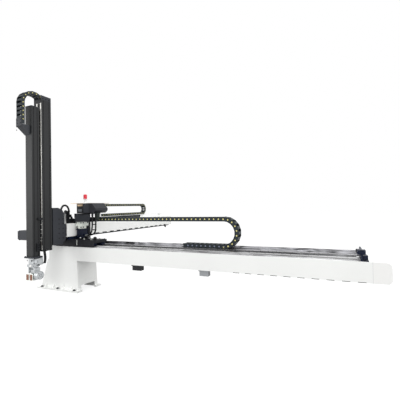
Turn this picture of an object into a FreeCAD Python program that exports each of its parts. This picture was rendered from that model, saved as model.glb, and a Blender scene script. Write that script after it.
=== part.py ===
import FreeCAD, Part

import math
import os

import Sketcher

# Gantry take-out robot for an injection moulding machine. Millimetres, +Z up, +X along the long
# traverse beam, +Y along the crosswise beam away from the arm. The origin is the middle of the
# foot's bolt pattern, on the face that stands on the machine.

DIMENSIONS = {
    # pedestal
    "base_height": 406,
    "foot_length": 740,
    "foot_depth": 430,
    "foot_plate": 22,
    "base_depth": 340,
    "base_wall": 12,
    "neck_left": 210,
    "neck_right": 330,
    "ankle_left": 352,
    "ankle_right": 352,
    "arch_height": 80,
    "arch_width": 240,
    "bolt_span_long": 600,
    "bolt_span_deep": 386,
    "bolt_hole": 18,
    "rib_height": 58,
    "rib_thickness": 10,
    "rib_reach": 34,
    # traverse beam
    "beam_length": 3870,
    "beam_left": 180,
    "beam_height": 180,
    "beam_depth": 240,
    "beam_front": 170,
    "beam_wall": 10,
    "end_plate": 6,
    "cap_length": 140,
    "cap_corner": 38,
    "cap_wall": 4,
    # rails, blocks and racks
    "rail_width": 28,
    "rail_height": 26,
    "rail_span": 150,
    "rail_margin": 40,
    "rail_right_margin": 110,
    "rack_length": 2900,
    "block_length": 100,
    "block_width": 60,
    "block_rise": 54,
    "block_inset": 140,
    "running_gap": 0.3,
    "rack_width": 22,
    "rack_height": 24,
    "tooth_module": 6,
    # traverse carriage
    "plate_left": 100,
    "plate_length": 720,
    "plate_depth": 236,
    "plate_thickness": 36,
    "skirt_thickness": 8,
    "bumper_length": 30,
    "bumper_radius": 14,
    "stop_thickness": 14,
    "stop_height": 97,
    "stop_inset": 86,
    # cable outlets under the traverse beam
    "outlet_drop": 62,
    "outlet_depth": 60,
    "outlet_lip": 12,
    "outlet_left_start": 1388,
    "outlet_left_length": 122,
    "outlet_right_start": 2262,
    "outlet_right_length": 100,
    # crosswise beam
    "cross_left": 10,
    "cross_width": 160,
    "cross_height": 175,
    "cross_length": 2720,
    "cross_front": 178,
    "cross_wall": 9,
    "cross_rise": 39,
    "kick_rail_width": 20,
    "kick_rail_height": 18,
    "kick_rail_span": 110,
    "kick_block_width": 42,
    "kick_block_length": 80,
    # drives
    "motor_size": 116,
    "traverse_motor_size": 100,
    "motor_length": 118,
    "gearbox_length": 100,
    "shaft_radius": 14,
    "pinion_height": 22,
    "kick_riser": 40,
    # arm bracket
    "bracket_left": 10,
    "bracket_width": 140,
    "bracket_depth": 188,
    "bracket_height": 475,
    "bracket_drop": 87,
    "bracket_plate": 24,
    "gusset": 16,
    "gusset_pitch": 62,
    "lift_plate": 20,
    "lift_motor_length": 180,
    "lift_motor_size": 130,
    # arm, outer and inner stage
    "outer_width": 130,
    "outer_depth": 138,
    "outer_length": 1874,
    "outer_gap": 14,
    "arm_wall": 8,
    "arm_rail_width": 20,
    "arm_rail_height": 16,
    "arm_block_width": 48,
    "arm_block_length": 76,
    "arm_block_level": 1000,
    "inner_width": 110,
    "inner_depth": 99,
    "inner_length": 1800,
    "stage_gap": 30,
    "flange_size": 150,
    "flange_thickness": 16,
    # wrist and gripper plate
    "wrist_width": 104,
    "wrist_height": 120,
    "yoke_height": 84,
    "yoke_wall": 16,
    "gripper_width": 120,
    "gripper_depth": 96,
    "gripper_height": 62,
    # cable carriers
    "traverse_link": 56,
    "traverse_chain_height": 52,
    "traverse_chain_width": 92,
    "traverse_chain_radius": 153,
    "traverse_chain_upper": 1850,
    "traverse_chain_lower": 500,
    "traverse_chain_turn": 2455,
    "kick_link": 50,
    "kick_chain_height": 40,
    "kick_chain_width": 76,
    "kick_chain_radius": 78,
    "kick_chain_level": 978,
    "kick_chain_turn": 1640,
    "kick_shelf_length": 1800,
    "kick_chain_upper": 1150,
    "kick_chain_lower": 1100,
    "arm_link": 50,
    "arm_chain_height": 43,
    "arm_chain_width": 92,
    "arm_chain_radius": 148,
    "arm_chain_front": 250,
    "arm_chain_sink": 96,
    "arm_chain_rear": 260,
    "arm_cap_room": 17,
    "trough_depth": 34,
    "tray_bracket_start": 60,
    "tray_bracket_width": 40,
    "tray_bracket_drop": 62,
    "sheet_thickness": 3,
    # cover and lamp
    "cover_length": 330,
    "cover_depth": 230,
    "cover_height": 132,
    "cover_floor": 1024,
    "cover_left": 236,
    "cover_front": 74,
    "cover_sheet": 4,
    "lamp_radius": 24,
    "lamp_height": 62,
    "lamp_stem": 58,
    # vacuum unit and hoses
    "unit_length": 138,
    "unit_width": 86,
    "unit_height": 92,
    "unit_cap": 26,
    "lead_radius": 10,
    "wrist_hose_radius": 5,
    "unit_hose_radius": 7.5,
}

doc = FreeCAD.newDocument("TakeOutRobot")
sheet = doc.addObject("Spreadsheet::Sheet", "Sizes")
for row, (alias, number) in enumerate(DIMENSIONS.items(), start=1):
    sheet.set("A%d" % row, alias)
    sheet.set("B%d" % row, str(number))
    sheet.setAlias("B%d" % row, alias)
doc.recompute()

XY_PLANE = "XY_Plane"
XZ_PLANE = "XZ_Plane"
YZ_PLANE = "YZ_Plane"
SKETCH_TURN = {
    XY_PLANE: FreeCAD.Rotation(),
    XZ_PLANE: FreeCAD.Rotation(FreeCAD.Vector(1, 0, 0), 90),
    YZ_PLANE: FreeCAD.Rotation(0.5, 0.5, 0.5, 0.5),
}
parts = {}


class Length:
    """A size with the sheet expression that gives it and its present value."""

    def __init__(self, text, number):
        self.text = text
        self.number = number

    @staticmethod
    def of(other):
        return other if isinstance(other, Length) else Length(repr(other), other)

    def __add__(self, other):
        other = Length.of(other)
        return Length("(%s + %s)" % (self.text, other.text), self.number + other.number)

    def __radd__(self, other):
        return Length.of(other) + self

    def __sub__(self, other):
        other = Length.of(other)
        return Length("(%s - %s)" % (self.text, other.text), self.number - other.number)

    def __rsub__(self, other):
        return Length.of(other) - self

    def __mul__(self, factor):
        factor = Length.of(factor)
        return Length("(%s * %s)" % (self.text, factor.text), self.number * factor.number)

    def __rmul__(self, factor):
        return self * factor

    def __truediv__(self, factor):
        return Length("(%s / %s)" % (self.text, repr(factor)), self.number / factor)

    def __neg__(self):
        return Length("(0 - %s)" % self.text, -self.number)


def size(alias):
    return Length("Sizes." + alias, float(sheet.get(alias)))


def value(length):
    return length.number if isinstance(length, Length) else float(length)


def bind(thing, prop, length):
    if isinstance(length, Length):
        thing.setExpression(prop, length.text)
    else:
        thing.setExpression(prop, repr(float(length)))


def place(thing, corner):
    for axis, length in zip("xyz", corner):
        bind(thing, "Placement.Base." + axis, length)


def keep(label, thing):
    """Marks an object of the document as one of the robot's own pieces."""
    thing.Label = label
    parts[label] = thing
    return thing


def box(corner, lengths, name="Block"):
    made = doc.addObject("Part::Box", name)
    for prop, length in zip(("Length", "Width", "Height"), lengths):
        bind(made, prop, length)
    place(made, corner)
    return made


AXIS_TURN = {
    "x": FreeCAD.Rotation(FreeCAD.Vector(0, 1, 0), 90),
    "y": FreeCAD.Rotation(FreeCAD.Vector(1, 0, 0), -90),
    "z": FreeCAD.Rotation(),
}


def cylinder(foot, radius, height, axis="z", name="Rod"):
    made = doc.addObject("Part::Cylinder", name)
    bind(made, "Radius", radius)
    bind(made, "Height", height)
    made.Placement = FreeCAD.Placement(FreeCAD.Vector(), AXIS_TURN[axis])
    place(made, foot)
    return made


def joined(pieces, name="Joined"):
    made = doc.addObject("Part::MultiFuse", name)
    made.Shapes = pieces
    return made


def group(pieces, name="Group"):
    made = doc.addObject("Part::Compound", name)
    made.Links = pieces
    return made


def cut(base, tools, name="Cut"):
    made = doc.addObject("Part::Cut", name)
    made.Base = base
    made.Tool = tools[0] if len(tools) == 1 else joined(tools, "Tools")
    return made


def prism(plane, start, length, outlines, name="Prism"):
    """A body padded from closed outlines of (u, v) corners, bound to the sheet.

    XY pads along +Z from z = start, YZ along +X from x = start, XZ along -Y from y = start.
    """
    body = doc.addObject("PartDesign::Body", name)
    sketch = body.newObject("Sketcher::SketchObject", name + "Sketch")
    origin = [f for f in body.Origin.OriginFeatures if f.Role == plane][0]
    sketch.AttachmentSupport = [(origin, "")]
    sketch.MapMode = "FlatFace"
    bind(sketch, "AttachmentOffset.Base.z", -start if plane == XZ_PLANE else start)
    for corners in outlines:
        first = sketch.GeometryCount
        count = len(corners)
        points = [FreeCAD.Vector(value(u), value(v), 0) for u, v in corners]
        for i in range(count):
            sketch.addGeometry(Part.LineSegment(points[i], points[(i + 1) % count]), False)
        for i in range(count):
            sketch.addConstraint(
                Sketcher.Constraint("Coincident", first + i, 2, first + (i + 1) % count, 1))
        for i, (u, v) in enumerate(corners):
            for kind, across in (("DistanceX", u), ("DistanceY", v)):
                at = sketch.addConstraint(
                    Sketcher.Constraint(kind, -1, 1, first + i, 1, value(across)))
                if isinstance(across, Length):
                    sketch.setExpression("Constraints[%d]" % at, across.text)
    pad = body.newObject("PartDesign::Pad", name + "Pad")
    pad.Profile = sketch
    bind(pad, "Length", length)
    body.Tip = pad
    return body


def rectangle(u0, v0, u1, v1):
    return [(u0, v0), (u1, v0), (u1, v1), (u0, v1)]


def rounded(body, radius, wanted, name="Round"):
    """Rounds the edges of the body's last feature whose two ends both pass the test."""
    doc.recompute()
    tip = body.Tip
    edges = []
    for number, edge in enumerate(tip.Shape.Edges, start=1):
        if len(edge.Vertexes) == 2 and wanted(edge.Vertexes[0].Point, edge.Vertexes[1].Point):
            edges.append("Edge%d" % number)
    fillet = body.newObject("PartDesign::Fillet", name)
    fillet.Base = (tip, edges)
    bind(fillet, "Radius", radius)
    body.Tip = fillet
    return body


def shaped(label, shape):
    """A piece whose outline is worked out here from the sheet's sizes."""
    made = doc.addObject("Part::Feature", label)
    made.Shape = shape
    return keep(label, made)


def near(a, b):
    return abs(a - b) < 0.01


# Levels that the pieces share, worked out from the sheet

base_height = size("base_height")
beam_front = -size("beam_front")
beam_back = beam_front + size("beam_depth")
beam_middle = beam_front + size("beam_depth") / 2
beam_start = -size("beam_left")
beam_end = beam_start + size("beam_length")
beam_top = base_height + size("beam_height")
gap = size("running_gap")
plate_floor = beam_top + size("block_rise")
plate_top = plate_floor + size("plate_thickness")
plate_start = -size("plate_left")
plate_end = plate_start + size("plate_length")
cross_floor = plate_top + size("cross_rise")
cross_top = cross_floor + size("cross_height")
cross_left = size("cross_left")
cross_right = cross_left + size("cross_width")
cross_middle = cross_left + size("cross_width") / 2
cross_front = -size("cross_front")
cross_back = cross_front + size("cross_length")
trough_start = beam_back + 2
trough_floor = beam_top + 17


def pedestal():
    """Welded hollow stand: tapered walls, a bolting foot with ribs, arched sides."""
    foot = box((-size("foot_length") / 2, -size("foot_depth") / 2, 0),
               (size("foot_length"), size("foot_depth"), size("foot_plate")), "Foot")
    wall = size("base_wall")
    half = size("base_depth") / 2
    top = base_height
    outline = [(-size("ankle_left"), 0), (size("ankle_right"), 0),
               (size("neck_right"), top), (-size("neck_left"), top)]
    shell = prism(XZ_PLANE, half, half * 2, [outline], "StandWalls")
    hollow = prism(XZ_PLANE, half - wall, half * 2 - wall * 2,
                   [[(-size("ankle_left") + wall, -1), (size("ankle_right") - wall, -1),
                     (size("neck_right") - wall, top - wall * 1.5),
                     (-size("neck_left") + wall, top - wall * 1.5)]], "StandHollow")
    reach = size("rib_reach")
    ribs = []
    for x in (-size("bolt_span_long") / 2 + 60, -90, 90, size("bolt_span_long") / 2 - 60):
        for side in (-1, 1):
            edge = half * side
            corners = [(edge - side, size("foot_plate") - 1), (edge + reach * side, size("foot_plate") - 1),
                       (edge - side, size("foot_plate") + size("rib_height"))]
            ribs.append(prism(YZ_PLANE, x - size("rib_thickness") / 2 if isinstance(x, Length)
                              else Length.of(x) - size("rib_thickness") / 2,
                              size("rib_thickness"), [corners], "Rib"))
    arch = box((-size("foot_length"), -size("arch_width") / 2, -1),
               (size("foot_length") * 2, size("arch_width"), size("arch_height") + 1), "Arch")
    holes = []
    for x in (-size("bolt_span_long") / 2, 0, size("bolt_span_long") / 2):
        for side in (-1, 1):
            holes.append(cylinder((x, size("bolt_span_deep") / 2 * side, -1),
                                  size("bolt_hole") / 2, size("foot_plate") + 2, "z", "BoltHole"))
    stand = joined([foot, shell] + ribs, "Stand")
    keep("base_pedestal", cut(stand, [hollow, arch] + holes, "Pedestal"))


def traverse_beam():
    """Long hollow extrusion with a middle web, closed by an end plate and a moulded cap."""
    wall = size("beam_wall")
    web = beam_middle
    outer = rectangle(beam_front, base_height, beam_back, beam_top)
    front_cell = rectangle(beam_front + wall, base_height + wall, web - wall / 2, beam_top - wall)
    back_cell = rectangle(web + wall / 2, base_height + wall, beam_back - wall, beam_top - wall)
    keep("traverse_beam", prism(YZ_PLANE, beam_start, size("beam_length"),
                                [outer, front_cell, back_cell], "TraverseBeam"))
    keep("beam_end_plate", box((beam_start - size("end_plate"), beam_front, base_height),
                               (size("end_plate"), size("beam_depth"), size("beam_height")), "EndPlate"))
    corner = size("cap_corner")
    cap = prism(XZ_PLANE, beam_back, size("beam_depth"),
                [rectangle(beam_end, base_height, beam_end + size("cap_length"), beam_top)], "EndCap")
    right = value(beam_end + size("cap_length"))
    rounded(cap, corner, lambda a, b: near(a.x, right) and near(b.x, right) and near(a.z, b.z), "CapRound")
    keep("beam_end_cap", cap)


def linear_rail(label, start, length, across, level, width, height, axis):
    """A guide rail of hardened steel with its two waisted flanks."""
    waist = width * 0.16
    low, neck, head = level, level + height * 0.4, level + height * 0.75
    top = level + height
    outline = [(across - width / 2, low), (across + width / 2, low), (across + width / 2, neck),
               (across + width / 2 - waist, neck + height * 0.12),
               (across + width / 2 - waist, head - height * 0.12), (across + width / 2, head),
               (across + width / 2, top), (across - width / 2, top), (across - width / 2, head),
               (across - width / 2 + waist, head - height * 0.12),
               (across - width / 2 + waist, neck + height * 0.12), (across - width / 2, neck)]
    plane = YZ_PLANE if axis == "x" else XZ_PLANE
    return prism(plane, start, length, [outline], label)


def traverse_rails():
    """Two rails and the rack on top of the beam, the end stop and the outlets below."""
    margin = size("rail_margin")
    length = size("beam_length") - margin - size("rail_right_margin")
    rails = []
    for side in (-1, 1):
        across = beam_middle + size("rail_span") / 2 * side
        rails.append(linear_rail("TraverseRail", beam_start + margin, length,
                                 across, beam_top, size("rail_width"), size("rail_height"), "x"))
    keep("traverse_rails", group(rails, "TraverseRails"))
    stop_x = beam_end - size("stop_inset")
    stop_depth = size("beam_depth") - 8
    keep("end_stop_right", joined([
        box((stop_x, beam_front + 4, beam_top), (size("stop_thickness"), stop_depth, size("stop_height")),
            "StopPlate"),
        box((stop_x, beam_front + 4, beam_top), (size("stop_inset") * 0.7, stop_depth, 8), "StopFoot")],
        "EndStop"))
    bumpers = []
    for side in (-1, 1):
        across = beam_middle + 44 * side
        bumpers.append(cylinder((stop_x - size("bumper_length"), across,
                                 plate_floor + size("plate_thickness") / 2),
                                size("bumper_radius"), size("bumper_length"), "x", "Bumper"))
    keep("stop_bumpers", group(bumpers, "StopBumpers"))
    for side in ("left", "right"):
        keep("beam_outlet_" + side, outlet(beam_start + size("outlet_%s_start" % side),
                                           size("outlet_%s_length" % side)))


def outlet(start, length):
    """Moulded cable outlet hanging on its flange under the traverse beam."""
    lip = size("outlet_lip")
    depth = size("outlet_depth")
    return joined([
        box((start, beam_front + lip, base_height - size("outlet_drop")),
            (length, depth, size("outlet_drop") - lip), "OutletBody"),
        box((start - 10, beam_front + lip - 6, base_height - lip), (length + 20, depth + lip, lip),
            "OutletFlange")],
        "Outlet")


def rack_points(start, count, module, face, depth, height_factor, root_factor, play):
    """Corners of a rack's toothed edge, u along the rack, v across it, teeth towards +v.

    The pitch line lies at v = face. Flanks lean 20 degrees and play narrows each tooth.
    """
    pitch = math.pi * module
    lean = math.tan(math.radians(20))
    tip = face + height_factor * module
    root = face - root_factor * module
    half = pitch / 4 - play
    points = [(start, face - depth)]
    for i in range(count):
        middle = start + pitch * (i + 0.5)
        points.append((middle - half - (face - root) * lean, root))
        points.append((middle - half + (tip - face) * lean, tip))
        points.append((middle + half - (tip - face) * lean, tip))
        points.append((middle + half + (face - root) * lean, root))
    points.append((start + pitch * count, face - depth))
    return points


TIP_FACTOR = 0.7
ROOT_FACTOR = 0.95
FLANK_PLAY = 0.18


def polygon_prism(points, direction):
    """A straight solid from a closed run of corners."""
    wire = Part.makePolygon([FreeCAD.Vector(*p) for p in points] + [FreeCAD.Vector(*points[0])])
    return Part.Face(wire).extrude(FreeCAD.Vector(*direction))


def pinion_shape(teeth, module, height, bore):
    """Involute pinion about +Z with its first tooth on +X."""
    pitch_radius = module * teeth / 2
    base_radius = pitch_radius * math.cos(math.radians(20))
    tip_radius = pitch_radius + TIP_FACTOR * module
    root_radius = pitch_radius - ROOT_FACTOR * module
    half_angle = (math.pi / 2 - 2 * FLANK_PLAY / module) / teeth
    pressure = math.tan(math.radians(20)) - math.radians(20)
    flank = []
    steps = 3
    start = max(base_radius, root_radius)
    for i in range(steps + 1):
        radius = start + (tip_radius - start) * i / steps
        roll = math.sqrt(max(radius ** 2 / base_radius ** 2 - 1, 0))
        flank.append((radius, half_angle + pressure - (roll - math.atan(roll))))
    points = []
    for tooth in range(teeth):
        middle = 2 * math.pi * tooth / teeth
        low = flank[0][1]
        points.append((root_radius, middle - low))
        for radius, angle in flank:
            points.append((radius, middle - angle))
        for radius, angle in reversed(flank):
            points.append((radius, middle + angle))
        points.append((root_radius, middle + low))
    corners = []
    for radius, angle in points:
        corner = (radius * math.cos(angle), radius * math.sin(angle), 0.0)
        if not corners or math.dist(corner, corners[-1]) > 0.05:
            corners.append(corner)
    blank = polygon_prism(corners, (0, 0, height))
    return blank.cut(Part.makeCylinder(bore, height * 3, FreeCAD.Vector(0, 0, -height)))


TRAVERSE_TEETH = 12
KICK_TEETH = 20


def traverse_drive():
    """Rack along the beam, pinion under the carriage plate, reducer and motor above it."""
    module = value(size("tooth_module"))
    rack_z = value(beam_top)
    other_side = value(beam_middle - size("rail_span") / 2 + size("block_width") / 2) + 2
    face = other_side + value(size("rack_width"))
    start = value(beam_start + size("rail_margin"))
    count = int(value(size("rack_length")) / (math.pi * module))
    edge = rack_points(start, count, module, face, value(size("rack_width")), TIP_FACTOR, ROOT_FACTOR,
                       FLANK_PLAY)
    shaped("traverse_rack", polygon_prism([(u, v, rack_z) for u, v in edge],
                                          (0, 0, value(size("rack_height")))))
    radius = module * TRAVERSE_TEETH / 2
    centre_x = value(cross_left) - 4 - value(size("traverse_motor_size")) / 2
    pitch = math.pi * module
    # the rack has a tooth gap wherever the pinion's tooth points at it
    tooth_index = math.floor((centre_x - start) / pitch)
    centre_x = start + pitch * tooth_index
    centre_y = face + radius
    pinion = pinion_shape(TRAVERSE_TEETH, module, value(size("pinion_height")),
                          value(size("shaft_radius")) - 0.05)
    pinion.rotate(FreeCAD.Vector(), FreeCAD.Vector(0, 0, 1), -90)
    reach = value(plate_top) - rack_z - 1 - value(gap)
    shaft = Part.makeCylinder(value(size("shaft_radius")), reach)
    pinion = pinion.fuse(shaft)
    pinion.translate(FreeCAD.Vector(centre_x, centre_y, rack_z + 1))
    shaped("traverse_pinion", pinion)
    return centre_x, centre_y


SOCKET_REACH = 30
KICK_SOCKET_WIDTH = 56


def servo(name, centre, level, facing, side, socket_side, socket_width):
    """A square servo motor with its flange and connector, and the reducer on its nose.

    facing +1 puts the reducer below the motor, -1 above it. socket_side is +1 or -1 along X.
    """
    gearbox = value(size("gearbox_length"))
    motor = value(size("motor_length"))
    x, y = centre
    base = level if facing > 0 else level + motor
    reducer = Part.makeBox(side, side, gearbox * 0.62, FreeCAD.Vector(x - side / 2, y - side / 2,
                                                                     base if facing > 0 else base + gearbox * 0.38))
    drum = Part.makeCylinder(side * 0.47, gearbox * 0.38,
                             FreeCAD.Vector(x, y, base + gearbox * 0.62 if facing > 0 else base))
    shaped(name + "_gearbox", reducer.fuse(drum))
    base = level + gearbox if facing > 0 else level
    nose = base if facing > 0 else base + motor - 14
    flange = Part.makeBox(side, side, 14, FreeCAD.Vector(x - side / 2, y - side / 2, nose))
    body_side = side - 12
    body = Part.makeBox(body_side, body_side, motor,
                        FreeCAD.Vector(x - body_side / 2, y - body_side / 2, base))
    vertical = [e for e in body.Edges if near(e.Vertexes[0].X, e.Vertexes[1].X)
                and near(e.Vertexes[0].Y, e.Vertexes[1].Y)]
    body = body.makeChamfer(9, vertical)
    socket_x = x + body_side / 2 - 4 if socket_side > 0 else x - body_side / 2 - SOCKET_REACH + 4
    socket = Part.makeBox(SOCKET_REACH, socket_width, 34,
                          FreeCAD.Vector(socket_x, y - socket_width / 2,
                                         base + (motor - 46 if facing > 0 else 12)))
    shaped(name + "_motor", flange.fuse([body, socket]))


def carriage():
    """Plate on four guide blocks, with a skirt, a drive post and the crosswise guide blocks."""
    shaft_x, shaft_y = traverse_drive()
    plate = box((plate_start, beam_middle - size("plate_depth") / 2, plate_floor),
                (size("plate_length"), size("plate_depth"), size("plate_thickness")), "Plate")
    skirt = box((plate_start, beam_middle - size("plate_depth") / 2, beam_top + 6),
                (size("plate_length"), size("skirt_thickness"), size("block_rise") - 6 + 1), "Skirt")
    bore = cylinder((shaft_x, shaft_y, plate_floor - 1), size("shaft_radius") + 3,
                    size("plate_thickness") + 2, "z", "ShaftBore")
    keep("traverse_plate", cut(joined([plate, skirt], "PlateBlank"), [bore], "TraversePlate"))
    blocks = []
    length = size("block_length")
    for along in (plate_start + size("block_inset"), plate_end - 20 - length):
        for side in (-1, 1):
            middle = beam_middle + size("rail_span") / 2 * side
            half = size("block_width") / 2
            slot = size("rail_width") / 2 + gap
            outline = [(middle - half, beam_top + 7), (middle - slot, beam_top + 7),
                       (middle - slot, beam_top + size("rail_height") + gap),
                       (middle + slot, beam_top + size("rail_height") + gap), (middle + slot, beam_top + 7),
                       (middle + half, beam_top + 7), (middle + half, plate_floor),
                       (middle - half, plate_floor)]
            blocks.append(prism(YZ_PLANE, along, length, [outline], "GuideBlock"))
    servo("traverse", (shaft_x, shaft_y), value(plate_top), 1, value(size("traverse_motor_size")), -1, 26)
    for along in (beam_front + 26, beam_back - 30 - size("kick_block_length")):
        for side in (-1, 1):
            middle = cross_middle + size("kick_rail_span") / 2 * side
            half = size("kick_block_width") / 2
            slot = size("kick_rail_width") / 2 + gap
            rail_low = cross_floor - size("kick_rail_height")
            outline = [(middle - half, plate_top), (middle + half, plate_top),
                       (middle + half, cross_floor - 5),
                       (middle + slot, cross_floor - 5), (middle + slot, rail_low - gap),
                       (middle - slot, rail_low - gap), (middle - slot, cross_floor - 5),
                       (middle - half, cross_floor - 5)]
            blocks.append(prism(XZ_PLANE, along + size("kick_block_length"), size("kick_block_length"),
                                [outline], "KickBlock"))
    keep("carriage_guide_blocks", group(blocks, "CarriageBlocks"))


def kick_drive():
    """Upright motor and reducer beside the crosswise beam, its pinion on the beam's rack."""
    module = value(size("tooth_module"))
    radius = module * KICK_TEETH / 2
    riser = value(size("kick_riser"))
    level = value(cross_top) + riser
    face = value(cross_right) + 6
    width = 34
    start = value(cross_front) + 120
    pitch = math.pi * module
    count = 80
    edge = rack_points(0, count, module, 0, width, TIP_FACTOR, ROOT_FACTOR, FLANK_PLAY)
    rack = polygon_prism([(face + v, start + u, level) for u, v in edge],
                         (0, 0, value(size("rack_height"))))
    rack_riser = Part.makeBox(width - 8, pitch * count, riser,
                              FreeCAD.Vector(face - width, start, level - riser))
    shaped("kick_rack", Part.makeCompound([rack, rack_riser]))
    centre_x = face + radius
    tooth_index = round((20 - start) / pitch)
    centre_y = start + pitch * tooth_index
    pinion = pinion_shape(KICK_TEETH, module, value(size("pinion_height")),
                          value(size("shaft_radius")) - 0.05)
    # a tooth points at the rack, along -X
    pinion.rotate(FreeCAD.Vector(), FreeCAD.Vector(0, 0, 1), 180)
    gearbox_top = value(plate_top) + 20 + value(size("motor_length")) + value(size("gearbox_length"))
    shaft = Part.makeCylinder(value(size("shaft_radius")),
                              level + value(size("pinion_height")) + 1 - gearbox_top - 0.3)
    shaft.translate(FreeCAD.Vector(0, 0, gearbox_top + 0.3 - level - 1))
    pinion = pinion.fuse(shaft)
    pinion.translate(FreeCAD.Vector(centre_x, centre_y, level + 1))
    shaped("kick_pinion", pinion)
    servo("kick", (centre_x, centre_y), value(plate_top) + 20, -1, value(size("motor_size")), 1,
          KICK_SOCKET_WIDTH)
    return centre_x, centre_y


def drive_post(centre):
    """Cast post behind the kick motor that holds the motor, the pinion guard and the cover."""
    x, y = centre
    side = value(size("motor_size"))
    left = x - side / 2
    back = y + side / 2
    top = value(size("cover_floor"))
    column = Part.makeBox(side, 34, top - value(plate_top),
                          FreeCAD.Vector(left, back + 0.3, value(plate_top)))
    foot = Part.makeBox(side, 60, 14, FreeCAD.Vector(left, back - 26, value(plate_top)))
    guard_floor = value(cross_top) + value(size("kick_riser")) + value(size("rack_height")) + 6
    roof = Part.makeBox(side + 10, side + 30, 60, FreeCAD.Vector(left - 6, y - side / 2 - 18, guard_floor))
    shelf = Part.makeBox(300, 34, 14, FreeCAD.Vector(left, back + 0.3, top - 14))
    radius = value(size("tooth_module")) * KICK_TEETH / 2
    tip = radius + TIP_FACTOR * value(size("tooth_module")) + 3
    rack_floor = value(cross_top) + value(size("kick_riser")) - 6
    room = guard_floor - rack_floor
    pinion_room = Part.makeBox(side * 2, y + tip - back, room, FreeCAD.Vector(left - 20, back, rack_floor))
    rack_room = Part.makeBox(x - radius + 8 - left, 60, room, FreeCAD.Vector(left, back, rack_floor))
    post = column.cut(pinion_room.fuse(rack_room)).fuse([foot, roof, shelf])
    shaped("drive_post", post.removeSplitter())


def crosswise():
    """Hollow beam that carries the arm at its front end and slides on the carriage."""
    wall = size("cross_wall")
    outer = rectangle(cross_left, cross_floor, cross_right, cross_top)
    inner = rectangle(cross_left + wall, cross_floor + wall, cross_right - wall, cross_top - wall)
    beam = prism(XZ_PLANE, cross_back, size("cross_length"), [outer, inner], "CrosswiseBeam")
    keep("crosswise_beam", beam)
    keep("crosswise_end_cap", box((cross_left - 2, cross_back, cross_floor - 2),
                                  (size("cross_width") + 4, 12, size("cross_height") + 4), "CrossCap"))
    rails = []
    for side in (-1, 1):
        across = cross_middle + size("kick_rail_span") / 2 * side
        half = size("kick_rail_width") / 2
        low = cross_floor - size("kick_rail_height")
        rails.append(prism(XZ_PLANE, cross_back - 60, size("cross_length") - 90,
                           [[(across - half, low), (across + half, low), (across + half, low + 6),
                             (across + half - 4, low + 9), (across + half, low + 12),
                             (across + half, cross_floor), (across - half, cross_floor),
                             (across - half, low + 12), (across - half + 4, low + 9),
                             (across - half, low + 6)]], "KickRail"))
    keep("kick_rails", group(rails, "KickRails"))


def arm_bracket():
    """Box-shaped casting between the crosswise beam and the arm, with the arm's guide blocks."""
    left = size("bracket_left")
    right = left + size("bracket_width")
    back = cross_front
    front = back - size("bracket_depth") - 12
    floor = cross_floor - size("bracket_drop")
    top = floor + size("bracket_height")
    plate = box((left - 10, front, floor), (size("bracket_width") + 10, size("bracket_plate"),
                                            size("bracket_height")), "FrontPlate")
    rear = box((left, back - 12, floor + 60), (size("bracket_width"), 12, size("bracket_height") - 170),
               "RearPlate")
    sides = []
    for start in (left, right - size("gusset")):
        outline = [(front + 2, floor), (back - 60, floor), (back, floor + 62), (back, top - 110),
                   (back - 60, top - 26), (back - 120, top), (front + 2, top)]
        sides.append(prism(YZ_PLANE, start, size("gusset"), [outline], "Gusset"))
    floor_web = box((left, front + 2, floor), (size("bracket_width"), size("bracket_depth") - 60, 14),
                    "Web")
    shelf = box((left + size("bracket_width") / 2 - 26, back - 38, floor + size("bracket_height") - 122),
                (52, 38, 12), "GlandShelf")
    lift_front = front - 162
    lift_plate = prism(YZ_PLANE, left - 2 - size("lift_plate"), size("lift_plate"),
                       [[(front + size("bracket_plate"), floor + 40), (front - 130, floor + 40),
                         (lift_front, floor + 72), (lift_front, floor + 190), (front - 130, floor + 222),
                         (front + size("bracket_plate"), floor + 222)]], "LiftPlate")
    lift_web = box((left - 10, front, floor + 40), (8, size("bracket_plate"), 182), "LiftWeb")
    holes = []
    for row in range(5):
        for column in range(2):
            holes.append(cylinder((right - size("gusset") - 1, back - 46 - size("gusset_pitch") * column,
                                   floor + 80 + size("gusset_pitch") * row), 7,
                                  size("gusset") + 2, "x", "GussetHole"))
    keep("arm_bracket", cut(joined([plate, rear, floor_web, shelf, lift_plate, lift_web] + sides,
                                   "BracketBlank"),
                            holes, "ArmBracket"))
    return front, floor, top


def lift_drive(front, floor):
    """Reducer and motor on the bracket's side plate, left of the arm, that run the arm's belt."""
    y = value(front) - 83
    z = value(floor) + 131
    start = value(size("bracket_left")) - 2 - value(size("lift_plate"))
    side = value(size("lift_motor_size"))
    box_length = 90
    drum_length = 30
    length = value(size("lift_motor_length"))
    gearbox = Part.makeBox(box_length, side, side,
                           FreeCAD.Vector(start - box_length, y - side / 2, z - side / 2))
    drum_x = start - box_length - drum_length
    drum = Part.makeCylinder(side * 0.44, drum_length, FreeCAD.Vector(drum_x, y, z),
                             FreeCAD.Vector(1, 0, 0))
    shaped("lift_gearbox", gearbox.fuse(drum))
    body = Part.makeBox(length, side - 6, side - 6,
                        FreeCAD.Vector(drum_x - length, y - side / 2 + 3, z - side / 2 + 3))
    long_edges = [e for e in body.Edges if near(e.Vertexes[0].Y, e.Vertexes[1].Y)
                  and near(e.Vertexes[0].Z, e.Vertexes[1].Z)]
    body = body.makeChamfer(12, long_edges)
    bell = Part.makeBox(22, side - 24, side - 24,
                        FreeCAD.Vector(drum_x - length - 22, y - side / 2 + 12, z - side / 2 + 12))
    shaped("lift_motor", body.fuse(bell))


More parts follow.
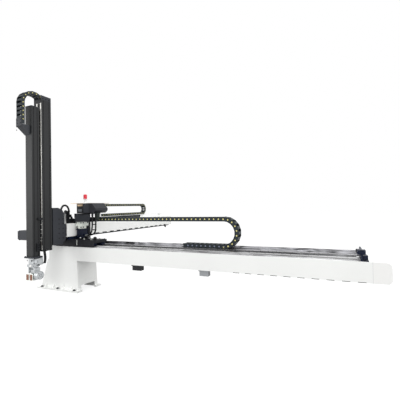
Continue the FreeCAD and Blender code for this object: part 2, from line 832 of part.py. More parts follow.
def arm(front, floor, top):
    """Outer stage that slides on the bracket, inner stage that slides on the outer one."""
    outer_left = size("bracket_left") + size("bracket_width") - size("outer_width")
    outer_right = outer_left + size("outer_width")
    middle = outer_left + size("outer_width") / 2
    rear = front - size("outer_gap")
    outer_front = rear - size("outer_depth")
    wall = size("arm_wall")
    outer_floor = floor - 56
    channel = 24
    half = 31
    outline = [(outer_left, outer_front), (outer_right, outer_front), (outer_right, rear),
               (middle + half, rear), (middle + half, rear - channel), (middle - half, rear - channel),
               (middle - half, rear), (outer_left, rear)]
    inside = rectangle(outer_left + wall, outer_front + wall, outer_right - wall, rear - channel - wall)
    keep("arm_outer_profile", prism(XY_PLANE, outer_floor, size("outer_length"), [outline, inside],
                                    "OuterStage"))
    rail_half = size("arm_rail_width") / 2
    rail_back = rear - channel
    rail = rectangle(middle - rail_half, rail_back, middle + rail_half, rail_back + size("arm_rail_height"))
    rear_rail = prism(XY_PLANE, outer_floor + 20, size("outer_length") - 40, [rail], "OuterRail")
    blocks = []
    block_half = size("arm_block_width") / 2
    slot = rail_half + gap
    for low in (floor + 30, top - 30 - size("arm_block_length")):
        shape = [(middle - block_half, front), (middle - block_half, rail_back + 4),
                 (middle - slot, rail_back + 4),
                 (middle - slot, rail_back + size("arm_rail_height") + gap),
                 (middle + slot, rail_back + size("arm_rail_height") + gap), (middle + slot, rail_back + 4),
                 (middle + block_half, rail_back + 4), (middle + block_half, front)]
        blocks.append(prism(XY_PLANE, low, size("arm_block_length"), [shape], "LiftBlock"))
    keep("lift_guide_blocks", group(blocks, "LiftBlocks"))
    # inner stage
    inner_back = outer_front - size("stage_gap")
    inner_front = inner_back - size("inner_depth")
    inner_right = outer_right
    inner_left = inner_right - size("inner_width")
    inner_middle = inner_left + size("inner_width") / 2
    inner_floor = outer_floor - 47
    rail_low = outer_front - 16
    stage_rail = rectangle(inner_middle - rail_half, rail_low, inner_middle + rail_half, outer_front)
    front_rail = prism(XY_PLANE, outer_floor + 6, size("outer_length") - 60, [stage_rail], "StageRail")
    keep("arm_rails", group([rear_rail, front_rail], "ArmRails"))
    shell = rectangle(inner_left, inner_front, inner_right, inner_back)
    hollow = rectangle(inner_left + wall, inner_front + wall, inner_right - wall, inner_back - wall)
    keep("arm_inner_profile", prism(XY_PLANE, inner_floor, size("inner_length"), [shell, hollow],
                                    "InnerStage"))
    stage_blocks = []
    for low in (outer_floor + size("arm_block_level"),
                inner_floor + size("inner_length") - 40 - size("arm_block_length")):
        shape = [(inner_middle - block_half, inner_back), (inner_middle + block_half, inner_back),
                 (inner_middle + block_half, outer_front - 4), (inner_middle + slot, outer_front - 4),
                 (inner_middle + slot, rail_low - gap), (inner_middle - slot, rail_low - gap),
                 (inner_middle - slot, outer_front - 4), (inner_middle - block_half, outer_front - 4)]
        stage_blocks.append(prism(XY_PLANE, low, size("arm_block_length"), [shape], "StageBlock"))
    keep("stage_guide_blocks", group(stage_blocks, "StageBlocks"))
    flange_half = size("flange_size") / 2
    flange_middle = inner_front + size("inner_depth") / 2
    keep("arm_flange", box((inner_middle - flange_half, flange_middle - flange_half + 8,
                            inner_floor - size("flange_thickness")),
                           (size("flange_size"), size("flange_size") - 16, size("flange_thickness")),
                           "ArmFlange"))
    keep("arm_inner_cap", box((inner_left - 2, inner_front - 2, inner_floor + size("inner_length")),
                              (size("inner_width") + 4, size("inner_depth") + 4, 8), "InnerCap"))
    outer_top = outer_floor + size("outer_length")
    cheek = 10
    head = joined([
        box((outer_left, rear - channel - wall, outer_top), (size("outer_width"), channel + wall, 34),
            "HeadBlock"),
        box((outer_left, outer_front, outer_top), (cheek, size("outer_depth"), 52), "HeadCheek"),
        box((outer_right - cheek, outer_front, outer_top), (cheek, size("outer_depth"), 52), "HeadCheek")],
        "ArmHead")
    keep("arm_head", head)
    return {"middle": inner_middle, "flange_y": flange_middle,
            "floor": inner_floor - size("flange_thickness"),
            "outer_top": outer_top, "inner_top": inner_floor + size("inner_length") + 8,
            "outer_front": outer_front, "outer_right": outer_right,
            "inner_front": inner_front, "inner_back": inner_back, "outer_left": outer_left}


def wrist(spots):
    """Turning head under the flange, a yoke below it and the gripper plate that flips in it."""
    x = value(spots["middle"])
    y = value(spots["flange_y"])
    z = value(spots["floor"])
    width = value(size("wrist_width"))
    high = value(size("wrist_height"))
    housing = Part.makeCylinder(width / 2, high * 0.62, FreeCAD.Vector(x, y, z - high * 0.62))
    block = Part.makeBox(width, width * 0.7, high * 0.4,
                         FreeCAD.Vector(x - width / 2, y - 8, z - high * 0.4))
    port_y = y - 8 + width * 0.7
    ports = Part.makeBox(width * 0.45, 26, high * 0.78,
                         FreeCAD.Vector(x + width * 0.05, port_y - 2, z - high * 0.78))
    shaped("wrist_housing", housing.fuse([block, ports]).removeSplitter())
    turn_top = z - high * 0.62 - 0.3
    disc = Part.makeCylinder(width * 0.44, high * 0.2, FreeCAD.Vector(x, y, turn_top - high * 0.2))
    cheek = value(size("yoke_wall"))
    yoke_top = turn_top - high * 0.2
    drop = value(size("yoke_height"))
    shape = disc
    for side in (-1, 1):
        shape = shape.fuse(Part.makeBox(cheek, width * 0.6, drop,
                                        FreeCAD.Vector(x + side * (width / 2 - cheek / 2) - cheek / 2,
                                                       y - width * 0.3, yoke_top - drop)))
    bridge = Part.makeBox(width, width * 0.6, 12,
                          FreeCAD.Vector(x - width / 2, y - width * 0.3, yoke_top - 12))
    pin_z = yoke_top - drop + 22
    bores = Part.makeCylinder(8.05, width * 2, FreeCAD.Vector(x - width, y, pin_z), FreeCAD.Vector(1, 0, 0))
    shaped("wrist_yoke", shape.fuse(bridge).cut(bores).removeSplitter())
    inner = width - cheek * 2 - 2
    core = Part.makeBox(inner, 40, 40, FreeCAD.Vector(x - inner / 2, y - 20, pin_z - 20))
    pin = Part.makeCylinder(8, width + 12, FreeCAD.Vector(x - width / 2 - 6, y, pin_z),
                            FreeCAD.Vector(1, 0, 0))
    shaped("flip_shaft", core.fuse(pin))
    wide = value(size("gripper_width"))
    deep = value(size("gripper_depth"))
    tall = value(size("gripper_height"))
    plate_top_z = pin_z - 20 - 20
    neck = Part.makeBox(inner * 0.6, 30, 20, FreeCAD.Vector(x - inner * 0.3, y - 15, plate_top_z))
    plate = Part.makeBox(wide, deep, 14, FreeCAD.Vector(x - wide / 2, y - deep / 2, plate_top_z - 14))
    blocks = []
    for side in (-1, 1):
        blocks.append(Part.makeBox(wide * 0.4, deep * 0.68, tall - 14,
                                   FreeCAD.Vector(x + side * wide * 0.27 - wide * 0.2, y - deep * 0.34,
                                                  plate_top_z - tall)))
    holes = []
    for along in (-1, 1):
        for across in (-1, 1):
            holes.append(Part.makeCylinder(3.4, tall * 3, FreeCAD.Vector(x + along * 25, y + across * 41,
                                                                         plate_top_z - tall)))
    shape = plate.fuse([neck] + blocks)
    for hole in holes:
        shape = shape.cut(hole)
    shaped("gripper_plate", shape.removeSplitter())
    return x, y, pin_z, plate_top_z - 14


def link_edge(length, count, low, high, notch):
    """Side outline of a straight run of cable carrier: each link is waisted at its two ends."""
    step = length / count
    upper = []
    lower = []
    for i in range(count):
        a = i * step
        upper += [(a, high - notch), (a + step * 0.16, high), (a + step * 0.84, high)]
        lower += [(a, low + notch), (a + step * 0.16, low), (a + step * 0.84, low)]
    upper.append((length, high - notch))
    lower.append((length, low + notch))
    return upper + list(reversed(lower))


def straight_run(start, length, link, middle, height, width, across, place_point):
    """Cable carrier run from start, hollow along its length. place_point maps (u, w, v)."""
    count = max(1, round(length / link))
    low, high = middle - height / 2, middle + height / 2
    outline = link_edge(length, count, low, high, height * 0.14)
    points = [place_point(start + u, across - width / 2, v) for u, v in outline]
    sweep = [b - a for a, b in zip(place_point(0, 0, 0), place_point(0, width, 0))]
    run = polygon_prism(points, sweep)
    core = [(start - 1, low + height * 0.22), (start + length + 1, low + height * 0.22),
            (start + length + 1, high - height * 0.22), (start - 1, high - height * 0.22)]
    tunnel_sweep = [s * 0.8 for s in sweep]
    tunnel = polygon_prism([place_point(u, across - width * 0.4, v) for u, v in core], tunnel_sweep)
    return run.cut(tunnel)


def loop_run(centre, radius, link, height, width, across, place_point, from_angle, to_angle):
    """Half turn of cable carrier about centre (u, v), made of straight links."""
    sweep_angle = to_angle - from_angle
    count = max(4, round(abs(sweep_angle) * radius / link))
    cu, cv = centre

    def ring(offset, fraction):
        angle = from_angle + sweep_angle * fraction
        return (cu + (radius + offset) * math.cos(angle), cv + (radius + offset) * math.sin(angle))

    notch = height * 0.14
    outer = []
    inner = []
    for i in range(count):
        for share, dip in ((0.0, notch), (0.16, 0.0), (0.84, 0.0)):
            outer.append(ring(height / 2 - dip, (i + share) / count))
            inner.append(ring(-height / 2 + dip, (i + share) / count))
    outer.append(ring(height / 2 - notch, 1))
    inner.append(ring(-height / 2 + notch, 1))
    outline = outer + list(reversed(inner))
    sweep = [b - a for a, b in zip(place_point(0, 0, 0), place_point(0, width, 0))]
    run = polygon_prism([place_point(u, across - width / 2, v) for u, v in outline], sweep)
    core_out = [ring(height * 0.28, i / count) for i in range(count + 1)]
    core_in = [ring(-height * 0.28, i / count) for i in range(count + 1)]
    tunnel = polygon_prism([place_point(u, across - width * 0.4, v) for u,
                            v in core_out + list(reversed(core_in))],
                           [s * 0.8 for s in sweep])
    return run.cut(tunnel)


def along_x(u, w, v):
    return (u, w, v)


def along_y(u, w, v):
    return (w, u, v)


def traverse_chain(post):
    """Cable carrier behind the rails: upper run to the carriage, half turn, run in the trough."""
    height = value(size("traverse_chain_height"))
    width = value(size("traverse_chain_width"))
    radius = value(size("traverse_chain_radius"))
    link = value(size("traverse_link"))
    floor = value(trough_floor)
    across = value(trough_start) + 8 + width / 2
    low = floor + height / 2
    high = low + radius * 2
    turn_x = value(beam_start + size("traverse_chain_turn"))
    upper_length = value(size("traverse_chain_upper"))
    lower_length = value(size("traverse_chain_lower"))
    shaped("traverse_chain_upper", straight_run(turn_x - upper_length, upper_length, link, high, height,
                                                width,
                                                across, along_x))
    shaped("traverse_chain_lower", straight_run(turn_x - lower_length, lower_length, link, low, height,
                                                width,
                                                across, along_x))
    shaped("traverse_chain_loop", loop_run((turn_x, low + radius), radius, link, height, width, across,
                                           along_x,
                                           math.pi / 2, -math.pi / 2))
    wall = value(size("sheet_thickness"))
    start = value(beam_start) + 60
    length = value(size("beam_length")) - 120
    left = value(trough_start)
    outer_width = width + 16
    tray = Part.makeBox(length, outer_width, wall, FreeCAD.Vector(start, left, floor - wall))
    rim = Part.makeBox(length, wall, value(size("trough_depth")),
                       FreeCAD.Vector(start, left + outer_width - wall, floor - wall))
    inner_rim = Part.makeBox(length, wall, 12, FreeCAD.Vector(start, left, floor - wall - 12 + wall))
    shape = tray.fuse([rim, inner_rim])
    inset = value(size("tray_bracket_start"))
    plate = value(size("tray_bracket_width"))
    drop = value(size("tray_bracket_drop"))
    for share in range(6):
        x = start + inset + (length - 2 * inset - plate) * share / 5
        shape = shape.fuse(Part.makeBox(plate, 6, drop,
                                        FreeCAD.Vector(x, left - 2, floor - wall - drop + 1)))
        shape = shape.fuse(Part.makeBox(plate, outer_width * 0.7, 6,
                                        FreeCAD.Vector(x, left - 2, floor - wall - 6)))
    shaped("chain_trough", shape.removeSplitter())
    clamp = Part.makeBox(30, width - 8, 10,
                         FreeCAD.Vector(turn_x - lower_length - 30, across - width / 2 + 4, floor))
    lip = Part.makeBox(6, width - 8, height * 0.7,
                       FreeCAD.Vector(turn_x - lower_length - 6, across - width / 2 + 4, floor))
    shaped("chain_fixed_clamp", clamp.fuse(lip))
    x, y, guard = post
    end = turn_x - upper_length
    back = y + value(size("motor_size")) / 2
    arm_plate = Part.makeBox(end - x + 40, 10, 60, FreeCAD.Vector(x - 40, back + 34.3, high - 30))
    tail = Part.makeBox(8, across + width / 2 - 6 - (back + 34.3), 44,
                        FreeCAD.Vector(end - 8, back + 34.3, high - 22))
    shaped("chain_carriage_arm", arm_plate.fuse(tail))
    return turn_x, across, low, high


def kick_chain(post):
    """Cable carrier above the crosswise beam, between the cover and the beam."""
    height = value(size("kick_chain_height"))
    width = value(size("kick_chain_width"))
    radius = value(size("kick_chain_radius"))
    link = value(size("kick_link"))
    across = value(cross_left) + 8 + width / 2
    low = value(size("kick_chain_level"))
    high = low + radius * 2
    upper_length = value(size("kick_chain_upper"))
    lower_length = value(size("kick_chain_lower"))
    turn_y = value(size("kick_chain_turn"))
    shaped("kick_chain_upper", straight_run(turn_y - upper_length, upper_length, link, high, height, width,
                                            across, along_y))
    shaped("kick_chain_lower", straight_run(turn_y - lower_length, lower_length, link, low, height, width,
                                            across, along_y))
    shaped("kick_chain_loop", loop_run((turn_y, low + radius), radius, link, height, width, across, along_y,
                                       math.pi / 2, -math.pi / 2))
    top = value(cross_top)
    shelf_floor = low - height / 2
    tray = Part.makeBox(width + 6, value(size("kick_shelf_length")), 3,
                        FreeCAD.Vector(across - width / 2 - 3, turn_y - lower_length - 40, shelf_floor - 3))
    posts = []
    for share in range(4):
        y = turn_y - lower_length - 30 + (value(size("kick_shelf_length")) - 50) * share / 3
        posts.append(Part.makeBox(width - 20, 30, shelf_floor - 3 - top,
                                  FreeCAD.Vector(across - width / 2 + 10, y, top)))
    lug = Part.makeBox(width, 8, height, FreeCAD.Vector(across - width / 2, turn_y - lower_length - 8,
                                                        shelf_floor))
    foot = Part.makeBox(width, 40, 3, FreeCAD.Vector(across - width / 2, turn_y - lower_length - 40,
                                                     shelf_floor))
    shaped("kick_chain_shelf", tray.fuse(posts + [lug, foot]).removeSplitter())
    return turn_y, across, low, high


def cover(post, kick):
    """Folded sheet cover over the valves and terminals, the lamp on it, and its chain lug."""
    x, y, guard = post
    floor = value(size("cover_floor"))
    length = value(size("cover_length"))
    depth = value(size("cover_depth"))
    height = value(size("cover_height"))
    left = value(size("cover_left"))
    front = -value(size("cover_front"))
    wall = value(size("cover_sheet"))
    corners = [(left, floor), (left + length - 40, floor), (left + length, floor + 34),
               (left + length, floor + 62),
               (left + length - 66, floor + height), (left, floor + height)]
    shell = polygon_prism([(u, front, v) for u, v in corners], (0, depth, 0))
    inner = [(left - 1, floor - 1), (left + length - 40 - wall, floor - 1),
             (left + length - wall, floor + 36),
             (left + length - wall, floor + 60), (left + length - 68, floor + height - wall),
             (left - 1, floor + height - wall)]
    shell = shell.cut(polygon_prism([(u, front + wall, v) for u, v in inner], (0, depth - wall * 2, 0)))
    shaped("drive_cover", shell)
    base = Part.makeBox(length - 46 - wall, depth - wall * 2, wall,
                        FreeCAD.Vector(left, front + wall, floor))
    glands = []
    for gland_x, gland_y, gland_z in (LEAD_ROUTES[0][0], LEAD_ROUTES[1][0]):
        glands.append(Part.makeCylinder(value(size("lead_radius")) + 4, floor - gland_z,
                                        FreeCAD.Vector(gland_x, gland_y, gland_z)))
    shaped("cover_base", base.fuse(glands).removeSplitter())
    turn_y, across, low, high = kick
    chain_end = turn_y - value(size("kick_chain_upper"))
    width = value(size("kick_chain_width"))
    plate = Part.makeBox(left + 60 - (across - width / 2), chain_end - 20, 6,
                         FreeCAD.Vector(across - width / 2, 20, floor + height))
    hook = Part.makeBox(width, 6, 60, FreeCAD.Vector(across - width / 2, chain_end - 6,
                                                     floor + height - 54))
    shaped("cover_top_plate", plate.fuse(hook).removeSplitter())
    lamp_x = left + 110
    lamp_y = -30.0
    top = floor + height
    radius = value(size("lamp_radius"))
    stem = value(size("lamp_stem"))
    foot = Part.makeCylinder(radius * 1.05, 8, FreeCAD.Vector(lamp_x, lamp_y, top))
    tube = Part.makeCylinder(radius * 0.62, stem - 8, FreeCAD.Vector(lamp_x, lamp_y, top + 8))
    shaped("lamp_stem", foot.fuse(tube))
    lens = Part.makeCylinder(radius, value(size("lamp_height")) - 10,
                             FreeCAD.Vector(lamp_x, lamp_y, top + stem))
    dome = Part.makeCone(radius, radius * 0.7, 10,
                         FreeCAD.Vector(lamp_x, lamp_y, top + stem + value(size("lamp_height")) - 10))
    shaped("lamp_lens", lens.fuse(dome))


def arm_chain(spots):
    """Cable carrier over the arm's head, between the outer and the inner stage."""
    height = value(size("arm_chain_height"))
    width = value(size("arm_chain_width"))
    radius = value(size("arm_chain_radius"))
    link = value(size("arm_link"))
    front_run = value(size("arm_chain_front"))
    over_head = value(spots["outer_top"] - size("arm_chain_sink"))
    over_cap = value(spots["inner_top"] + size("arm_cap_room"))
    turn_z = max(over_head, over_cap)
    rear_run = value(size("arm_chain_rear"))
    rear_y = value(spots["outer_front"]) + 82
    front_y = rear_y - radius * 2
    across = value(spots["outer_left"]) + 12 + width / 2

    def upright(u, w, v):
        return (w, v, u)

    shaped("arm_chain_front", straight_run(turn_z - front_run, front_run, link, front_y, height, width,
                                           across, upright))
    loop = loop_run((turn_z, rear_y - radius), radius, link, height, width, across, upright, -math.pi / 2,
                    math.pi / 2)
    rear = straight_run(turn_z - rear_run, rear_run, link, rear_y, height, width, across, upright)
    shaped("arm_chain_loop", loop.fuse(rear))
    low = turn_z - front_run
    inner_front = value(spots["inner_front"])
    wall = 4
    plate = polygon_prism([(across - width / 2, front_y - height / 2 - wall, low + 60),
                           (across - width / 2, front_y - height / 2 - wall, low - 30),
                           (across - width / 2, inner_front, low - 120),
                           (across - width / 2, inner_front, low - 8),
                           (across - width / 2, front_y + height / 2, low - 8),
                           (across - width / 2, front_y - height / 2, low - 8),
                           (across - width / 2, front_y - height / 2, low + 60)], (width, 0, 0))
    shaped("arm_chain_bracket", plate)


def vacuum_unit():
    """Valve and vacuum block on the crosswise beam, behind the arm bracket."""
    left = value(cross_left) + 14
    start = value(cross_front) + 12
    width = value(size("unit_width"))
    length = value(size("unit_length"))
    height = value(size("unit_height"))
    top = value(cross_top)
    outline = [(start, top), (start + length + 18, top), (start + length - 6, top + height),
               (start, top + height)]
    block = polygon_prism([(left, u, v) for u, v in outline], (width, 0, 0))
    cap = Part.makeBox(width - 24, length * 0.6, value(size("unit_cap")),
                       FreeCAD.Vector(left + 12, start + length * 0.34, top + height))
    shaped("vacuum_unit", block.fuse(cap).removeSplitter())


def hose(points, radius):
    """A round hose along straight runs joined by tangent arcs as large as the runs allow."""
    vectors = [FreeCAD.Vector(*p) for p in points]
    pieces = []
    here = vectors[0]
    length = 0.0
    for before, corner, after in zip(vectors, vectors[1:], vectors[2:]):
        arriving = (corner - before).normalize()
        leaving = (after - corner).normalize()
        turn = arriving.getAngle(leaving)
        reach = 0.45 * min((corner - before).Length, (after - corner).Length)
        bend = reach / math.tan(turn / 2)
        print("hose bend radius %.0f at diameter %.0f" % (bend, radius * 2))
        enter = corner - arriving * reach
        leave = corner + leaving * reach
        axis = arriving.cross(leaving).normalize()
        centre = enter + axis.cross(arriving) * bend
        pieces.append(Part.makeCylinder(radius, (enter - here).Length, here, arriving))
        section = Part.Face(Part.Wire([Part.makeCircle(radius, enter, arriving)]))
        pieces.append(section.revolve(centre, axis, math.degrees(turn)))
        length += (enter - here).Length + bend * turn
        here = leave
    pieces.append(Part.makeCylinder(radius, (vectors[-1] - here).Length, here, leaving))
    length += (vectors[-1] - here).Length
    made = pieces[0].fuse(pieces[1:])
    ratio = made.Volume / (math.pi * radius ** 2 * length)
    print("hose length %.0f, volume against section times length %.4f" % (length, ratio))
    return made


# routes of the two leads between the cover and the kick motor, each from its gland down
LEAD_ROUTES = [
    [(464, -24, 1002), (464, -24, 890), (446, -22, 770), (380, 3.4, 720), (314.3, 3.4, 720)],
    [(508, -10, 1002), (508, -10, 885), (494, -2, 765), (392, 31.4, 722), (314.3, 31.4, 722)],
]
# air hose that runs straight down the arm's right side and loops back to the wrist's port
WRIST_HOSE_ROUTE = [(160, -550, 960), (160, -550, 690), (204, -536, 540), (204, -534, 464),
                    (183, -534, 433),
                    (147.3, -534, 433)]
# hose that arches from the bracket's gland shelf to the vacuum unit
UNIT_HOSE_ROUTE = [(80, -202, 993.3), (80, -202, 1072), (80, -160, 1138), (80, -96, 1130), (80, -62, 1072),
                   (80, -62, 1008.3)]


def hoses(spots):
    """Motor leads, the wrist's hose with its clip, and the vacuum unit's hose."""
    leads = [hose(route, value(size("lead_radius"))) for route in LEAD_ROUTES]
    shaped("motor_leads", Part.makeCompound(leads))
    clip_floor = WRIST_HOSE_ROUTE[0][2]
    right = value(spots["outer_right"])
    back = value(spots["inner_back"])
    clip = Part.makeBox(20, 54, 26, FreeCAD.Vector(right, back - 36, clip_floor))
    shaped("wrist_hose", Part.makeCompound([hose(WRIST_HOSE_ROUTE, value(size("wrist_hose_radius"))),
                                            clip]))
    shaped("vacuum_hose", hose(UNIT_HOSE_ROUTE, value(size("unit_hose_radius"))))


pedestal()
traverse_beam()
traverse_rails()
carriage()
kick_axis = kick_drive()
drive_post(kick_axis)
crosswise()
bracket_front, bracket_floor, bracket_top = arm_bracket()
lift_drive(bracket_front, bracket_floor)
arm_spots = arm(bracket_front, bracket_floor, bracket_top)
flip_axis = wrist(arm_spots)
post_spot = (kick_axis[0], kick_axis[1], value(cross_top) + value(size("pinion_height")) + 6)
traverse_turn = traverse_chain(post_spot)
kick_turn = kick_chain(post_spot)
cover(post_spot, kick_turn)
arm_chain(arm_spots)
vacuum_unit()
hoses(arm_spots)

doc.recompute()
for thing in doc.Objects:
    if "Invalid" in thing.State or "Error" in thing.State:
        raise RuntimeError("%s (%s) failed: %s" % (thing.Name, thing.Label, thing.State))
os.makedirs("parts", exist_ok=True)
for label, thing in parts.items():
    shape = thing.Shape
    if shape.isNull() or not shape.isValid() or not shape.Solids:
        raise RuntimeError("%s has no valid shape" % label)
    shape.exportStep(os.path.join("parts", label + ".step"))
print("%d pieces; kick axis %s, flip axis %s, traverse turn %s, kick turn %s"
      % (len(parts), kick_axis, flip_axis, traverse_turn, kick_turn))
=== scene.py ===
import math

import bpy
from mathutils import Matrix, Vector


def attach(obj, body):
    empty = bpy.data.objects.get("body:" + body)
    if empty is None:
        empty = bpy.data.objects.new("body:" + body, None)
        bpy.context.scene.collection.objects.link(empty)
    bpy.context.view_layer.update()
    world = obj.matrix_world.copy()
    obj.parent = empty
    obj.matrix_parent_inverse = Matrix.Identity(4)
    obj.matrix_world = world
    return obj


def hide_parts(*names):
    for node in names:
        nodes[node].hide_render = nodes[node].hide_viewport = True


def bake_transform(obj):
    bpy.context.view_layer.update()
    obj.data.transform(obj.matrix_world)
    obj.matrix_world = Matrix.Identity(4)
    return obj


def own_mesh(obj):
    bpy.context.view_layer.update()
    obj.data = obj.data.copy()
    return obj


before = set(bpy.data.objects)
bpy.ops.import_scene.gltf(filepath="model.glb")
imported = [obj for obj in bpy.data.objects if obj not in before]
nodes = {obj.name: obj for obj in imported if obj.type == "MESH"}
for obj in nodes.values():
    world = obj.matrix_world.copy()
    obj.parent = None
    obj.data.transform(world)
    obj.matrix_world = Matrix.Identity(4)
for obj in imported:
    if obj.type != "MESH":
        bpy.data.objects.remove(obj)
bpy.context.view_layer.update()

# Camera, floor and light
# The photograph shows the robot cut out on white, seen from its free end at chest height. The
# lamps are large and soft, as in a product studio, and the floor and world are white to the eye.
YAW = math.radians(24.5)
PITCH = math.radians(1.20)
ROLL = math.radians(-1.19)
SENSOR_MM, FOCAL_PIXELS, FRAME_PIXELS = 36, 298, 400
ahead = Vector((-math.sin(YAW) * math.cos(PITCH), math.cos(YAW) * math.cos(PITCH), math.sin(PITCH)))
level = Vector((math.cos(YAW), math.sin(YAW), 0))
upward = level.cross(ahead)
right = level * math.cos(ROLL) + upward * math.sin(ROLL)
top = upward * math.cos(ROLL) - level * math.sin(ROLL)

bpy.ops.object.camera_add(location=(3.423, -3.047, 1.085))
camera = bpy.context.object
camera.name = "camera"
turn = Matrix((right, top, -ahead)).transposed().to_4x4()
camera.matrix_world = Matrix.Translation(camera.location) @ turn
camera.data.sensor_width = SENSOR_MM
camera.data.lens = SENSOR_MM * FOCAL_PIXELS / FRAME_PIXELS
camera.data.clip_end = 100
bpy.context.scene.camera = camera
bpy.context.scene.view_settings.view_transform = "Standard"


def colour(text):
    """A hex colour as Blender's linear red, green, blue and alpha."""
    parts = [int(text[i:i + 2], 16) / 255 for i in (1, 3, 5)]
    return [p / 12.92 if p <= 0.04045 else ((p + 0.055) / 1.055) ** 2.4 for p in parts] + [1.0]


def add(tree, kind, links=(), **settings):
    """Adds a node. A setting names an attribute or an input, and links are (input, output socket)."""
    node = tree.nodes.new(kind)
    for name, setting in settings.items():
        if hasattr(node, name):
            setattr(node, name, setting)
        else:
            node.inputs[name.replace("_", " ")].default_value = setting
    for name, source in links:
        tree.links.new(source, node.inputs[name])
    return node


def bare_material(name):
    """A material with its default nodes cleared, and its output node."""
    material = bpy.data.materials.new(name)
    material.use_nodes = True
    material.node_tree.nodes.clear()
    return material, material.node_tree, material.node_tree.nodes.new("ShaderNodeOutputMaterial")


def seen_plainly(tree):
    """One where a camera, glossy or transmission ray meets the surface, nought elsewhere."""
    sight = add(tree, "ShaderNodeLightPath")
    first = add(tree, "ShaderNodeMath", [(0, sight.outputs["Is Camera Ray"]),
                                         (1, sight.outputs["Is Glossy Ray"])], operation="MAXIMUM")
    return add(tree, "ShaderNodeMath", [(0, first.outputs[0]), (1, sight.outputs["Is Transmission Ray"])],
               operation="MAXIMUM").outputs[0]


# Matt studio paper: it reads as white, yet throws little light up, so the robot keeps its shadow.
PAPER_GREY, PAPER_GLOW = 0.20, 0.87
floor_paper, tree, out = bare_material("studio_paper")
matt = add(tree, "ShaderNodeBsdfDiffuse", Color=(PAPER_GREY, PAPER_GREY, PAPER_GREY, 1))
glow = add(tree, "ShaderNodeEmission", [("Strength", seen_plainly(tree))],
           Color=(PAPER_GLOW, PAPER_GLOW, PAPER_GLOW, 1))
both = add(tree, "ShaderNodeAddShader", [(0, matt.outputs[0]), (1, glow.outputs[0])])
tree.links.new(both.outputs[0], out.inputs["Surface"])

bpy.ops.object.select_all(action="DESELECT")
bpy.ops.mesh.primitive_plane_add(size=60, location=(0, 0, -0.0005))
floor = bpy.context.object
floor.name = "studio_floor"
floor.data.materials.append(floor_paper)

world = bpy.data.worlds.new("studio")
bpy.context.scene.world = world
world.use_nodes = True
tree = world.node_tree
tree.nodes.clear()
strength = add(tree, "ShaderNodeMapRange", [("Value", seen_plainly(tree))], To_Min=0.99, To_Max=1.0)
sky = add(tree, "ShaderNodeBackground", [("Strength", strength.outputs[0])], Color=(1, 1, 1, 1))
add(tree, "ShaderNodeOutputWorld", [("Surface", sky.outputs[0])])

# Each lamp: its place, what it points at, its side in metres and its power in watts.
for name, place, aim, side, power in (
        ("key_lamp", (3.0, -6.0, 2.5), (1.2, 0, 0.8), 3.0, 105),
        ("fill_lamp", (-3.5, -4.5, 2.0), (0.0, 0, 0.9), 2.5, 78),
        ("side_lamp", (5.5, 0.5, 2.6), (0.2, 0.6, 1.0), 2.5, 90)):
    bpy.ops.object.light_add(type="AREA", location=place)
    lamp = bpy.context.object
    lamp.name = name
    lamp.data.size = side
    lamp.data.energy = power
    lamp.rotation_euler = (Vector(aim) - Vector(place)).to_track_quat("-Z", "Y").to_euler()


# Stand
# A hollow weldment of thick plate on a broad foot, bolted to the moulding machine. It is powder
# coated white; the coat flows a little before it sets, which leaves orange peel and a soft sheen.
def powder_coat(name, paint, roughness, peel_mm, gloss=0.5):
    """Powder coat: one colour with faint tonal drift, and an orange peel of the given size."""
    DRIFT = 0.04
    material, tree, out = bare_material(name)
    where = add(tree, "ShaderNodeTexCoord").outputs["Object"]
    drift = add(tree, "ShaderNodeTexNoise", [("Vector", where)], Scale=2.5, Detail=2.0)
    base = colour(paint)[:3]
    shade = add(tree, "ShaderNodeMix", [("Factor", drift.outputs["Fac"])], data_type="RGBA")
    shade.inputs[6].default_value = [c * (1 - DRIFT) for c in base] + [1.0]
    shade.inputs[7].default_value = [min(1.0, c * (1 + DRIFT)) for c in base] + [1.0]
    peel = add(tree, "ShaderNodeTexNoise", [("Vector", where)], Scale=1000 / peel_mm, Detail=1.0)
    bump = add(tree, "ShaderNodeBump", [("Height", peel.outputs["Fac"])], Strength=0.06, Distance=0.0004)
    skin = add(tree, "ShaderNodeBsdfPrincipled",
               [("Base Color", shade.outputs[2]), ("Normal", bump.outputs[0])],
               Roughness=roughness, Specular_IOR_Level=gloss)
    tree.links.new(skin.outputs[0], out.inputs["Surface"])
    return material


def dress(material, *names):
    """Gives CAD nodes a material in place of their plain one."""
    for name in names:
        slots = nodes[name].data.materials
        slots.clear()
        slots.append(material)


def metal(name, tint, roughness, grain_mm, stretch, contrast, waviness=0.0):
    """Bare metal whose tone and roughness follow a grain stretched along its working direction."""
    material, tree, out = bare_material(name)
    where = add(tree, "ShaderNodeTexCoord").outputs["Object"]
    along = add(tree, "ShaderNodeMapping", [("Vector", where)], Scale=stretch)
    lay = add(tree, "ShaderNodeTexNoise", [("Vector", along.outputs[0])], Scale=1000 / grain_mm, Detail=4.0,
              Distortion=waviness)
    base = colour(tint)[:3]
    sharp = add(tree, "ShaderNodeMapRange", [("Value", lay.outputs["Fac"])], From_Min=0.34, From_Max=0.66)
    tone = add(tree, "ShaderNodeMix", [("Factor", sharp.outputs[0])], data_type="RGBA")
    tone.inputs[6].default_value = [c * (1 - contrast) for c in base] + [1.0]
    tone.inputs[7].default_value = [min(1.0, c * (1 + contrast)) for c in base] + [1.0]
    rough = add(tree, "ShaderNodeMapRange", [("Value", lay.outputs["Fac"])],
                To_Min=roughness * 0.8, To_Max=roughness * 1.25)
    skin = add(tree, "ShaderNodeBsdfPrincipled",
               [("Base Color", tone.outputs[2]), ("Roughness", rough.outputs[0])], Metallic=1.0)
    tree.links.new(skin.outputs[0], out.inputs["Surface"])
    return material


def alone(piece):
    """Selects only this piece and makes it active."""
    bpy.ops.object.select_all(action="DESELECT")
    piece.select_set(True)
    bpy.context.view_layer.objects.active = piece


